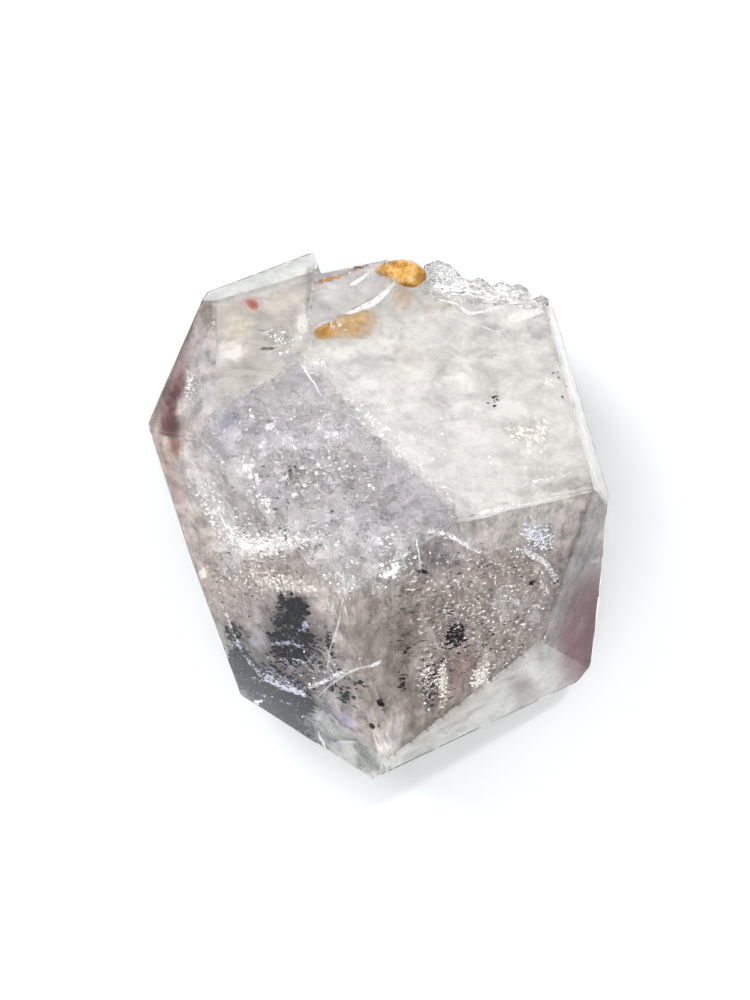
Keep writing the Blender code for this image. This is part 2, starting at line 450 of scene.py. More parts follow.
def strength_at(vert):
    """How much of the full relief a point gets, from 0 to 1."""
    if any(f[face_layer] not in rough_numbers for f in vert.link_faces):
        return 0.0
    reach, most = max(REACH[names[f[face_layer] - 1]] for f in vert.link_faces)
    away = plateau_tree.find(vert.co)[2] / MM
    fade = 1.0 if reach == EVERYWHERE else max(0.0, 1 - away / reach) ** FADE_POWER
    margin = min(1.0, clean_tree.find(vert.co)[2] / MM / CLEAN_MARGIN)
    return fade * most * margin


rough_edges = [e for e in skin.edges if max(strength_at(v) for v in e.verts) > LEAST_STRENGTH]
bmesh.ops.subdivide_edges(skin, edges=rough_edges, cuts=1, use_grid_fill=True)
print("finely ruled skin:", len(skin.faces), "faces")

# %% Pushing the relief in
skin.normal_update()
moves = {}
for vert in skin.verts:
    strength = strength_at(vert)
    if strength > 0:
        moves[vert] = vert.normal * relief(vert.co) * strength * MM
for vert, move in moves.items():
    vert.co += move
bmesh.ops.triangulate(skin, faces=skin.faces[:])
rough_tree = BVHTree.FromBMesh(skin)
print("relief on", len(moves), "points, deepest", round(max(m.length for m in moves.values()) / MM, 2), "mm")


# %% Making a piece
def piece_from(name, bm, material):
    """Makes an object at the origin that rides with the crystal and takes its finish from a slot."""
    mesh = bpy.data.meshes.new(name)
    bm.to_mesh(mesh)
    bm.free()
    mesh.materials.append(material)
    piece = bpy.data.objects.new(name, mesh)
    bpy.context.scene.collection.objects.link(piece)
    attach(piece, "root")
    print(name, len(mesh.polygons), "faces")
    return piece


crystal_skin = piece_from("crystal_skin", skin, quartz)
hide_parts(NODE)

# %% [markdown]
# Milky veils are healed cracks: millions of drops too small to see, which together look like fog. Each
# veil is made as a rippled sheet a few millimetres behind one face. It follows that face's bent rays, so
# that it shows where the photograph shows it. Two attributes travel with its points: how thick the fog is
# there, and its tint. Both come from named soft ovals. A volume would scatter light more truly, but it
# takes far longer to render.

# %% Inside the body
def inside(point, margin):
    """True if a point lies in the solid and at least so many mm from its skin."""
    near, normal, _, away = solid_tree.find_nearest(point)
    return (point - near).dot(normal) < 0 and away > margin * MM


MOST_PULL = 7  # pixels by which a point beside the stone is drawn back to its outline
START_GAP = 0.02 * MM
ROOM_SHARE = 0.8  # of the way to the far side: no sheet goes deeper where the stone is thin


def face_plane(name):
    """A point and the outward normal of a named crystal face, and the pixels of its corners."""
    number = names.index(name) + 1
    face = max((f for f in solid.faces if f[solid_layer] == number), key=lambda f: f.calc_area())
    corners = [Vector(to_pixel(v.co)) for v in face.verts]
    outline = [corners[i] for i in convex_hull_2d(corners)]
    return face.calc_center_median(), face.normal.copy(), outline


def behind(normal, way_out, x, y, depth):
    """The point seen at a pixel, so many mm behind the rough skin or less in thin places, or None."""
    for step in range(MOST_PULL):
        ray = pixel_ray(x - way_out.x * step, y - way_out.y * step)
        hit = rough_tree.ray_cast(camera.location, ray)[0]
        if hit:
            break
    else:
        return None
    inward = bent(ray, normal)
    room = solid_tree.ray_cast(hit + inward * START_GAP, inward)[3] or 0.0
    return hit + inward * min(depth * MM, room * ROOM_SHARE)


print("the heart lies 10 mm or more inside:", inside(HEART, 10))


# %% A sheet of fog
VEIL_STEP = 4.0  # pixels between its points
SPECK_STEP = 2.5  # pixels between the points of a sheet that has only small patches
SOFT_RIM, HARD_RIM = 1.2, 1.6  # hardness of the patches of fog and of specks
VEIL_MARGIN = 4.0  # pixels that it runs on past its face
RIPPLE_SIZE = 7.0  # mm
RIPPLE_SHIFT = 10  # pixels of ripple that each mm of depth moves on, so that no two sheets ripple alike
PATCH_REACH = 1.4  # half lengths from its middle, past which a patch is no longer seen
LEAST_FOG, LEAST_SPECK = 0.02, 0.12  # thickness below which a sheet has a hole


def outside_by(corners, x, y):
    """How many pixels a place lies outside a convex outline, negative inside it, and the way out."""
    worst, way = -1e9, None
    middle = Vector((sum(c[0] for c in corners), sum(c[1] for c in corners))) / len(corners)
    for (ax, ay), (bx, by) in zip(corners, corners[1:] + corners[:1]):
        side = Vector((by - ay, ax - bx)).normalized()
        if side.dot(middle - Vector((ax, ay))) > 0:
            side = -side
        past = side.dot(Vector((x - ax, y - ay)))
        if past > worst:
            worst, way = past, side
    return worst, way


def band(route, half_width, amount, colour):
    """Soft ovals end over end along a route of pixels."""
    made = []
    for (ax, ay), (bx, by) in zip(route, route[1:]):
        middle, turn = ((ax + bx) / 2, (ay + by) / 2), math.degrees(math.atan2(ay - by, bx - ax))
        half_length = (math.hypot(bx - ax, by - ay) + half_width) / 2
        made.append((middle, (half_length, half_width), turn, amount, colour))
    return tuple(made)


# %% Filling a sheet
def fill(bm, base, patches, place_at, box):
    """Moves a unit grid to its places and gives each point its thickness and its tint."""
    x0, y0, x1, y1 = box
    thick = bm.verts.layers.float.new("thick")
    tint = bm.verts.layers.float_color.new("tint")
    base_tint = Vector(linear(base[1]))
    tints = [Vector(linear(patch[4])) for patch in patches]
    hardness = SOFT_RIM if base[0] else HARD_RIM
    gone = []
    for vert in bm.verts:
        x, y = x0 + (vert.co.x + 0.5) * (x1 - x0), y0 + (vert.co.y + 0.5) * (y1 - y0)
        shares = [patch[3] * in_oval(x, y, *patch[:3], hardness) for patch in patches]
        total = base[0] + sum(shares)
        place = place_at(x, y)
        if place is None or total < (LEAST_FOG if base[0] else LEAST_SPECK):
            gone.append(vert)
            continue
        colour = base_tint * base[0]
        for share, patch_tint in zip(shares, tints):
            colour += patch_tint * abs(share)
        vert.co = place
        vert[thick] = total
        vert[tint] = colour / (base[0] + sum(abs(share) for share in shares))
    bmesh.ops.delete(bm, geom=gone, context="VERTS")
    bmesh.ops.recalc_face_normals(bm, faces=bm.faces[:])


def veil(name, material, face, depth, ripple, base, patches):
    """A rippled sheet behind a face, with a base thickness and colour and soft ovals of more fog."""
    plane = face_plane(face)
    x0, x1 = min(c[0] for c in plane[2]) - VEIL_MARGIN, max(c[0] for c in plane[2]) + VEIL_MARGIN
    y0, y1 = min(c[1] for c in plane[2]) - VEIL_MARGIN, max(c[1] for c in plane[2]) + VEIL_MARGIN
    here = []
    for patch in patches:
        (x, y), reach = patch[0], max(patch[1]) * PATCH_REACH
        if x0 - reach < x < x1 + reach and y0 - reach < y < y1 + reach:
            here.append(patch)

    step = VEIL_STEP if base[0] else SPECK_STEP

    def place_at(x, y):
        past, way = outside_by(plane[2], x, y)
        if past > step:
            return None
        if past > 0:
            x, y = x - way.x * past, y - way.y * past
        spot = Vector((x, y, depth * RIPPLE_SHIFT)) / (RIPPLE_SIZE * PIXELS_PER_MM)
        wave = noise.fractal(spot, 1.0, 2.0, 3)
        return behind(plane[1], way, x, y, depth + ripple * wave)

    bm = bmesh.new()
    across, along = int((x1 - x0) / step), int((y1 - y0) / step)
    bmesh.ops.create_grid(bm, x_segments=across, y_segments=along, size=0.5)
    fill(bm, base, here, place_at, (x0, y0, x1, y1))
    return piece_from(name, bm, material)


def under_skin(name, material, box, depth, base, patches):
    """A sheet that follows the skin at a small depth, whatever faces lie there, inside a box of pixels."""
    bm = bmesh.new()
    across, along = int((box[2] - box[0]) / SPECK_STEP), int((box[3] - box[1]) / SPECK_STEP)
    bmesh.ops.create_grid(bm, x_segments=across, y_segments=along, size=0.5)
    fill(bm, base, patches, lambda x, y: seen_at(x, y, depth), box)
    return piece_from(name, bm, material)


# %% [markdown]
# Fog has no surface of its own. It is drawn by a shader that lets most light pass and scatters the rest,
# forwards and back alike, in its tint. Its thickness is broken up by wisps: noise with a fine grain,
# drawn out sideways, as the rows of drops in a healed crack are. A finer noise darkens and lightens the
# tint from thread to thread.

# %% Milky fog
WISP_RANGE = (0.55, 1.45)  # of the thickness, in the thinnest and in the thickest wisp
THREAD_NOISE = (0.36, 0.62)  # height of the fine noise in the darkest and in the lightest thread
LIGHTEST_THREAD = 1.2  # of the tint
PASSED_ON = 0.45  # share of the scattered light that goes on through the sheet


def sheet_values(tree):
    """The two attributes of a sheet: its thickness and its tint."""
    thick = add(tree, "ShaderNodeAttribute", output="Fac", attribute_name="thick")
    return thick, add(tree, "ShaderNodeAttribute", output="Color", attribute_name="tint")


def fog_material(name, wisp_size, stretch, contrast, thread_size=2.5, dark=0.75):
    """A see-through scattering sheet whose thickness follows its attribute, broken into wisps and threads."""
    material, tree, out = new_material(name)
    thick, tint = sheet_values(tree)
    broad = wave_of(tree, wisp_size, detail=3.0, rough=0.7, stretch=stretch, warp=0.6)
    wisps = add(tree, "ShaderNodeMapRange", (broad, 0.5 - contrast, 0.5 + contrast, *WISP_RANGE))
    cover = add(tree, "ShaderNodeMath", (thick, wisps), operation="MULTIPLY", use_clamp=True)
    fine = wave_of(tree, thread_size, detail=4.0, rough=0.75, stretch=stretch)
    threads = add(tree, "ShaderNodeMapRange", (fine, *THREAD_NOISE, dark, LIGHTEST_THREAD))
    shade = add(tree, "ShaderNodeVectorMath", {0: tint, "Scale": threads}, operation="SCALE")
    front = add(tree, "ShaderNodeBsdfDiffuse", {"Color": shade})
    back = add(tree, "ShaderNodeBsdfTranslucent", {"Color": shade})
    both = add(tree, "ShaderNodeMixShader", (PASSED_ON, front, back))
    clear = add(tree, "ShaderNodeBsdfTransparent")
    tree.links.new(add(tree, "ShaderNodeMixShader", (cover, clear, both)), out.inputs["Surface"])
    return material


milky_fog = fog_material("milky_fog", 5.0, (0.7, 1.2, 1.0), 0.22, dark=0.9)
broken_fog = fog_material("broken_fog", 3.0, (0.8, 1.25, 1.0), 0.2, thread_size=1.8, dark=0.62)
ragged_fog = fog_material("ragged_fog", 3.0, (1.1, 0.8, 1.0), 0.18, thread_size=2.2, dark=0.6)
brown_fog = fog_material("brown_fog", 3.5, (1.3, 0.7, 1.0), 0.16, thread_size=2.4, dark=0.6)
brown_cloud = fog_material("brown_cloud", 4.0, (1.5, 0.5, 1.0), 0.12, dark=0.8)
print("fogs:", [fog.name for fog in (milky_fog, broken_fog, ragged_fog, brown_fog, brown_cloud)])

# %% Strewn ovals
SPOTS = random.Random(7)
SPOT_WIDTHS = (0.3, 0.7)  # of its length


def mottle(count, middle, halves, sizes, turns, amount, colours):
    """Ovals of lighter and darker fog strewn at random over a wide box of pixels."""
    made = []
    for _ in range(count):
        x = middle[0] + SPOTS.uniform(-1, 1) * halves[0]
        y = middle[1] + SPOTS.uniform(-1, 1) * halves[1]
        size = SPOTS.uniform(*sizes)
        shape = (size, size * SPOTS.uniform(*SPOT_WIDTHS))
        made.append(((x, y), shape, SPOTS.uniform(*turns), amount, SPOTS.choice(colours)))
    return tuple(made)


LOWER_RIGHT_HUES = ("#63564f", "#e6dfda", "#7d716b", "#ffffff")
LOWER_LEFT_HUES = ("#7b6e66", "#f6ece3", "#958880", "#ffffff")
PLATEAU_HUES = ("#8e8d97", "#f4f4f7", "#a9a8b2", "#ffffff")
UPPER_RIGHT_HUES = ("#c9c8c6", "#fafaf8", "#d5d1cc", "#ffffff")
FOG_AND_PAINTED_LIGHT = (
    *mottle(70, (470, 600), (125, 110), (5, 14), (55, 115), 0.6, LOWER_RIGHT_HUES),
    *mottle(60, (262, 590), (95, 90), (4, 13), (-40, 60), 0.6, LOWER_LEFT_HUES),
    *mottle(80, (310, 460), (130, 110), (5, 15), (-25, 25), 0.5, PLATEAU_HUES),
    *mottle(40, (455, 390), (130, 100), (7, 20), (-30, 30), 0.2, UPPER_RIGHT_HUES),
)
print(len(FOG_AND_PAINTED_LIGHT), "strewn ovals")

# %% [markdown]
# The rest of the fog is placed oval by oval, face by face, from what the photograph shows. Each patch is
# a middle in pixels, a half length and a half width in pixels, a turn in degrees, an added thickness and
# a colour. A few of these patches are painted shade, painted highlights and painted reflections, not fog.

# %% Fog of the upper right face, whitest along its broken rim and clearer near the top
FOG_AND_PAINTED_LIGHT += (
    ((440, 440), (95, 44), -38, 0.55, "#eef1f0"),
    ((520, 470), (80, 26), 12, 0.35, "#eae7e2"),
    ((395, 398), (60, 26), -45, 0.45, "#eeefec"),
    ((405, 366), (24, 18), 0, 0.35, "#d3c6bb"),
    ((455, 330), (70, 24), 10, 0.35, "#cfccca"),
    ((528, 430), (16, 8), 10, 0.45, "#bba89c"),
    ((540, 385), (14, 40), 15, 0.25, "#cbc8c0"),
    ((365, 292), (26, 14), -25, 0.4, "#bdbcbd"),
    ((545, 345), (16, 40), 20, 0.15, "#dbdbdc"),
)
print(len(FOG_AND_PAINTED_LIGHT), "patches of fog")

# %% Fog of the broken middle, lavender grey with a white healed arc and a violet tooth
ARC = ((204, 478), (214, 505), (228, 530), (242, 545), (270, 545), (305, 538), (335, 545))
FOG_AND_PAINTED_LIGHT += (
    *band(ARC, 10, 0.55, "#fafafa"),
    ((262, 500), (34, 36), -45, 0.5, "#cdccd0"),
    ((300, 440), (60, 13), 8, 0.5, "#f0f0f3"),
    ((350, 400), (40, 20), -35, 0.25, "#c6c5ca"),
    ((226, 428), (9, 21), -15, 1.4, "#8d8ca2"),
    ((289, 360), (12, 9), 0, 0.5, "#a2a0ae"),
    ((300, 475), (16, 20), 0, 0.5, "#a0918a"),
    ((420, 500), (40, 22), -40, 0.4, "#b7b5c0"),
    ((330, 495), (40, 16), 0, 0.35, "#aca8a9"),
    ((300, 515), (50, 12), 0, 0.35, "#d9d8da"),
    ((385, 558), (24, 30), 0, 0.6, "#f1f3f4"),
    ((335, 528), (60, 22), 0, 0.6, "#f3f3f5"),
    ((350, 575), (28, 15), -30, 0.5, "#f8f9fa"),
    ((276, 517), (13, 11), 0, 0.35, "#dcc3bd"),
    ((202, 385), (13, 48), 6, 1.2, "#dedee2"),
)
print(len(FOG_AND_PAINTED_LIGHT), "patches of fog")

# %% Fog of the lower right face, smoky with upright brown clouds
FOG_AND_PAINTED_LIGHT += (
    ((525, 522), (75, 22), 14, 0.9, "#dedbd8"),
    ((437, 553), (18, 20), -20, 1.1, "#777382"),
    ((405, 635), (12, 46), -8, 0.7, "#66554e"),
    ((432, 678), (16, 38), 0, 0.4, "#948880"),
    ((460, 675), (11, 40), -10, 0.6, "#a27c70"),
    ((500, 612), (40, 26), 10, 0.35, "#98918b"),
    ((468, 575), (30, 18), 0, 0.3, "#bdb5b1"),
    ((560, 580), (24, 75), -14, 0.6, "#aca6a6"),
    ((372, 690), (18, 34), 0, 0.35, "#b9aea6"),
    ((415, 735), (18, 14), -40, 0.5, "#8d827d"),
    ((390, 740), (9, 22), -14, 1.0, "#ffffff"),
)
print(len(FOG_AND_PAINTED_LIGHT), "patches of fog")

# %% Fog of the lower left face, brownish and full of dark dust round the tar
FOG_AND_PAINTED_LIGHT += (
    ((205, 560), (14, 60), 20, 0.4, "#b29f94"),
    ((300, 578), (40, 14), -10, 0.4, "#cbbbaf"),
    ((332, 600), (12, 20), 0, 0.4, "#e3deda"),
    ((285, 640), (30, 36), -10, 0.7, "#3f4150"),
    ((258, 638), (11, 9), 0, 0.6, "#c4c6d3"),
    ((262, 688), (36, 15), -34, 3.0, "#15162c"),
    ((288, 722), (42, 12), -32, 1.8, "#34374c"),
    ((325, 705), (22, 16), -30, 0.5, "#b9bbc8"),
    # painted highlight: a small lavender glare
    ((345, 720), (10, 7), -35, 0.8, "#c3c2ea"),
    ((240, 684), (10, 8), 0, 1.2, "#7d7232"),
    ((174, 446), (4, 10), 12, 1.6, "#a85c1f"),
    ((166, 444), (3, 11), 8, 0.8, "#fff3e0"),
    *band(((160, 440), (172, 478), (186, 522)), 4, 0.9, "#a4746c"),
    ((188, 460), (5, 22), 10, 0.6, "#ffffff"),
)
print(len(FOG_AND_PAINTED_LIGHT), "patches of fog")

# %% Fog of the left face, brown outside the sparkling line, with painted shade along its outer edge and a painted dark crimson reflection in its corner
FOG_AND_PAINTED_LIGHT += (
    ((188, 335), (7, 40), 24, 0.5, "#a0938e"),
    *band(((190, 345), (176, 378), (163, 410)), 8, 0.8, "#8a7072"),
    # painted shade: a dark band along the outer edge, where refraction darkens the view through the stone
    *band(((203, 302), (176, 362), (151, 426)), 2.5, 0.9, "#5d4b4b"),
    # painted reflection: the dark crimson band and spot in the corner
    *band(((182, 376), (172, 402), (164, 428)), 5, 3.0, "#6d2536"),
    *band(((186, 372), (172, 400), (160, 424)), 1.6, 0.9, "#e3cfc6"),
    ((173, 427), (6, 8), -10, 4.0, "#3d1620"),
)
print(len(FOG_AND_PAINTED_LIGHT), "patches of fog")

# %% Fog of the upper left face, with a rusty spot
FOG_AND_PAINTED_LIGHT += (
    ((238, 326), (14, 18), 0, 0.5, "#d0c7b2"),
    ((252, 304), (6, 4), -35, 4.0, "#a03c12"),
    ((247, 302), (5, 2), 0, 0.8, "#c08a6a"),
    ((286, 297), (12, 9), -35, 0.4, "#b6ada5"),
    ((302, 325), (6, 20), -18, 0.6, "#fbfbf9"),
    ((280, 310), (20, 14), -20, 0.25, "#cec5bc"),
)
print(len(FOG_AND_PAINTED_LIGHT), "patches of fog")

# %% Fog of the narrow faces, with their white sheen and their crimson reflections painted in
FOG_AND_PAINTED_LIGHT += (
    # painted reflection: the white sheen of the wedge
    ((248, 291), (28, 4.5), 12, 3.0, "#e3e6e5"),
    *band(((225, 293), (270, 275), (305, 262)), 3, 0.3, "#d6dcde"),
    ((525, 690), (15, 9), -28, 1.3, "#9c8688"),
    # painted reflection: a white sheen along the lower right edge
    *band(((430, 745), (480, 716), (530, 690), (570, 668)), 3, 0.4, "#f4f7f4"),
    # painted reflection: the dark crimson patches on the right
    ((592, 637), (8, 36), -5, 8.0, "#5a0c28"),
    ((582, 632), (16, 40), -8, 6.0, "#7a1f3c"),
)
print(len(FOG_AND_PAINTED_LIGHT), "patches of fog")

# %% Veils behind the faces
FACE_FOG_AND_SHEEN = (  # face, material, depth and ripple in mm, thickness and colour
    ("upper_right", milky_fog, 3.2, 1.4, (0.58, "#f6f4f1")),
    ("plateau", broken_fog, 2.6, 1.0, (0.50, "#e2e0e2")),
    ("lower_right", brown_fog, 3.4, 1.4, (0.50, "#d6ccc6")),
    ("lower_left", ragged_fog, 3.2, 1.0, (0.50, "#e8dfdc")),
    ("left", ragged_fog, 2.0, 0.8, (0.55, "#c9bdb7")),
    ("upper_left", milky_fog, 2.4, 0.8, (0.50, "#ece6de")),
    # painted reflection: the wedge, bottom right and right faces get near-opaque white fog for the bright
    # sheen they show
    ("wedge", milky_fog, 1.2, 0.3, (0.9, "#e4e6e5")),
    ("bottom_right", milky_fog, 1.8, 0.5, (0.85, "#e6e8e4")),
    ("bottom_left", ragged_fog, 1.5, 0.4, (0.60, "#d5dad7")),
    ("right", milky_fog, 1.0, 0.3, (1.0, "#ffffff")),
    ("strip", ragged_fog, 1.5, 0.4, (0.85, "#aba5a8")),
    ("gap_floor", milky_fog, 1.2, 0.3, (0.85, "#e2e0e0")),
    ("shoulder_slope", milky_fog, 1.2, 0.3, (0.50, "#d9dada")),
)
for face, material, depth, ripple, base in FACE_FOG_AND_SHEEN:
    veil(f"veil_{face}", material, face, depth, ripple, base, FOG_AND_PAINTED_LIGHT)
print(len(FOG_AND_PAINTED_LIGHT), "patches of fog in", len(FACE_FOG_AND_SHEEN), "veils")

# %% [markdown]
# The stone is not clear behind its veils either. Clouds stand 8 to 10 mm down, upright and brown in the
# lower right and pale elsewhere, and they hide the bright patches that the far faces would throw up.

# %% Deeper clouds
CLOUD_RIPPLE = 2.5  # mm
CLOUDS = (
    ((470, 440), (90, 60), -30, 0.3, "#f6f7f6"),
    ((300, 450), (90, 60), 0, 0.2, "#bbb8bb"),
    ((425, 640), (45, 80), 0, 0.3, "#776660"),
    ((555, 580), (40, 80), -14, 0.5, "#b9b1ad"),
    ((285, 665), (50, 45), 0, 0.4, "#50505e"),
)
for face, depth, material, base in (
    ("upper_right", 10.0, milky_fog, (0.55, "#f2f1ef")),
    ("plateau", 9.0, milky_fog, (0.55, "#cbc9ce")),
    ("lower_right", 9.0, brown_cloud, (0.70, "#c0b5ae")),
    ("lower_left", 8.0, brown_cloud, (0.60, "#ccc3bf")),
):
    veil(f"cloud_{face}", material, face, depth, CLOUD_RIPPLE, base, CLOUDS)

# %% [markdown]
# The photograph can't show what stands lower down, but no stone with so many veils is empty there. A few
# healed cracks, steep and faint, are guessed in the lower half, so that the sides don't look like plain
# glass.

# %% Healed cracks deep in the body
DEEP_CELLS = 48  # along each side of a deep crack
DEEP_RIPPLE, DEEP_RIPPLE_SIZE = 1.6, 9.0  # mm
DEEP_MARGIN = 0.8  # mm from the skin
DEEP_TINT = "#e9e4df"
WHOLE = (-1, -1, 1, 1)  # the box of its patches, which count in its half length and half width
DEEP_FOG = (
    ((0.0, 0.0), (0.9, 0.8), 0, 0.30, DEEP_TINT),
    ((-0.3, 0.2), (0.5, 0.3), 20, 0.35, "#ffffff"),
    ((0.45, -0.2), (0.4, 0.25), -30, 0.30, "#cfc3ba"),
)
DEEP_CRACKS = (  # middle in mm from the heart, half length and half width in mm, bearing and tilt it faces
    ((9, -12, -12), (20, 12), (20, 70)),
    ((-13, 6, -10), (17, 11), (150, 80)),
    ((3, 20, -14), (19, 10), (80, 62)),
)


def deep_crack(name, middle, halves, turns):
    """A rippled sheet of faint fog around a middle, cut off a little inside the skin."""
    facing = direction(*turns)
    across = facing.orthogonal().normalized()
    upward = facing.cross(across)

    def place_at(x, y):
        spot = HEART + (Vector(middle) + across * x * halves[0] + upward * y * halves[1]) * MM
        spot += facing * noise.fractal(spot / (DEEP_RIPPLE_SIZE * MM), 1.0, 2.0, 3) * DEEP_RIPPLE * MM
        return spot if inside(spot, DEEP_MARGIN) else None

    bm = bmesh.new()
    bmesh.ops.create_grid(bm, x_segments=DEEP_CELLS, y_segments=DEEP_CELLS, size=0.5)
    fill(bm, (0.0, DEEP_TINT), DEEP_FOG, place_at, WHOLE)
    return piece_from(name, bm, milky_fog)


for number, sizes in enumerate(DEEP_CRACKS, 1):
    deep_crack(f"deep_crack_{number}", *sizes)

# %% [markdown]
# Specks are what is too big for fog and too small to model one by one: crumbs of black tar, frosted
# breaks, and scraps of blue, along with painted shade in the gashes, painted glints and painted
# highlights. They lie in sheets of their own, close under the skin. Where the sheet is thick, its noise
# passes a threshold almost everywhere and the specks run together into a mass. Where it is thin, only the
# peaks pass.


# %% Specks
GRAIN_NOISE = (0.3, 0.7)  # height of the noise that counts as no grain and as the middle of one
SPECK_FROM, SPECK_FULL = 1.0, 1.15  # thickness plus grain, where a speck begins and is opaque
FACET_SHARE = 0.5  # of a speck's size, for the facets on it
# painted facet shading: facets are made lighter and darker than the tint, and the brightest take a painted
# highlight colour
FACET_SHADES = (0.6, 1.3)  # of the tint, in the darkest and the lightest facet
PAINTED_HIGHLIGHT_NOISE = (0.66, 0.74)


def speck_material(name, size, stretch, rough, ior, highlight_colour):
    """A sheet of small grains whose share of the area follows the thickness; the brightest facets of its
    grains get a painted highlight colour.
    """
    material, tree, out = new_material(name)
    thick, tint = sheet_values(tree)
    noisy = wave_of(tree, size, detail=3.0, rough=0.75, stretch=stretch)
    grains = add(tree, "ShaderNodeMapRange", (noisy, *GRAIN_NOISE, 0.0, 1.0))
    level = add(tree, "ShaderNodeMath", (thick, grains), operation="ADD")
    cover = add(tree, "ShaderNodeMapRange", (level, SPECK_FROM, SPECK_FULL, 0.0, 1.0))
    facet = wave_of(tree, size * FACET_SHARE, detail=1.0)
    bright = add(tree, "ShaderNodeMapRange", (facet, 0.35, 0.65, *FACET_SHADES))
    shade = add(tree, "ShaderNodeVectorMath", {0: tint, "Scale": bright}, operation="SCALE")
    peaks = add(tree, "ShaderNodeMapRange", (facet, *PAINTED_HIGHLIGHT_NOISE, 0.0, 1.0))
    mixed = add(tree, "ShaderNodeMix", {0: peaks, 6: shade, 7: linear(highlight_colour)}, output=2, data_type="RGBA")
    ins = {"Base Color": mixed, "Roughness": rough, "IOR": ior, "Alpha": cover}
    tree.links.new(add(tree, "ShaderNodeBsdfPrincipled", ins), out.inputs["Surface"])
    return material


# Shut in quartz, tar hardly shines, because both bend light almost alike: so its IOR is the ratio of the two.
TAR_IOR = 1.08
tar_and_shade_crumbs = speck_material("tar_and_shade_crumbs", 0.9, (0.55, 1.5, 1.0), 0.4, TAR_IOR, "#7f86b4")
BREAK_IOR = 1.6  # a break filled with air gleams a little more than the quartz itself
# its white specks are partly frosted breaks and partly painted glints, with a white painted highlight
frosted_breaks_and_glints = speck_material("frosted_breaks_and_glints", 0.55, (0.8, 1.3, 1.0), 0.25, BREAK_IOR, "#ffffff")
print("tar shines as if its IOR were", TAR_IOR)

# %% Tar of the black mass on the lower left, and what trails off from it
TAR_AND_SHADE = (
    ((296, 605), (11, 7), -20, 0.8, "#05050b"),
    ((289, 635), (20, 32), 0, 0.4, "#101119"),
    ((281, 600), (3.5, 10), 0, 0.7, "#0a0a10"),
    *band(((274, 621), (290, 618), (306, 623)), 6, 0.55, "#05060c"),
    *band(((271, 637), (290, 634), (309, 640)), 5, 0.5, "#05060c"),
    *band(((269, 652), (288, 650), (305, 655)), 5, 0.35, "#0a0a13"),
    ((312, 650), (22, 22), 0, 0.38, "#17171f"),
    ((233, 632), (9, 12), 0, 0.6, "#101015"),
    ((238, 659), (12, 15), -10, 0.8, "#040509"),
    *band(((243, 672), (262, 684), (285, 694), (305, 704)), 15, 0.9, "#0a0b1e"),
    *band(((250, 705), (285, 724), (312, 742)), 12, 0.6, "#1b1d2b"),
    ((330, 640), (4, 24), 12, 0.6, "#121217"),
    ((345, 698), (6, 7), -30, 0.7, "#0e0e13"),
    ((332, 687), (5, 5), 0, 0.7, "#0e0e13"),
    ((360, 683), (4, 4), 0, 0.7, "#0e0e13"),
    ((300, 690), (60, 40), -30, 0.3, "#20212c"),
    ((250, 580), (70, 60), 0, 0.24, "#332a26"),
)
print(len(TAR_AND_SHADE), "patches of tar")

# %% Dark flecks in the lower right
TAR_AND_SHADE += (
    ((456, 637), (12, 16), -10, 0.48, "#1d191a"),
    ((430, 686), (13, 32), 5, 0.4, "#211d1e"),
    ((403, 682), (5, 9), 0, 0.6, "#2b211e"),
    ((404, 640), (9, 38), -8, 0.16, "#2b211e"),
    ((556, 581), (3, 4), -40, 0.9, "#1b191d"),
    ((531, 583), (2.5, 3), 0, 0.8, "#1b191d"),
    ((425, 573), (8, 2.5), -20, 0.7, "#2a282c"),
    ((381, 704), (4, 8), 20, 0.75, "#14100f"),
    ((460, 620), (100, 90), 0, 0.27, "#332a26"),
)
print(len(TAR_AND_SHADE), "patches of tar")

# %% Painted shadows in the gashes and on the sparkling flaw of the middle, and painted shade speckled over the middle
TAR_AND_SHADE += (
    ((271, 348), (13, 2.2), 2, 0.9, "#19181b"),
    ((268, 421), (11, 3), 4, 0.7, "#57565a"),
    ((290, 472), (3, 14), -20, 0.6, "#4b4545"),
    ((320, 363), (8, 8), 0, 0.45, "#1d1d2b"),
    ((305, 265), (2, 5), 0, 0.8, "#6a6664"),
    ((495, 402), (6, 8), 0, 0.5, "#5a5350"),
    # painted shade: a grey speckle over the broken middle
    ((315, 500), (100, 70), 0, 0.24, "#4d4b52"),
)
print(len(TAR_AND_SHADE), "patches of tar and shadow")

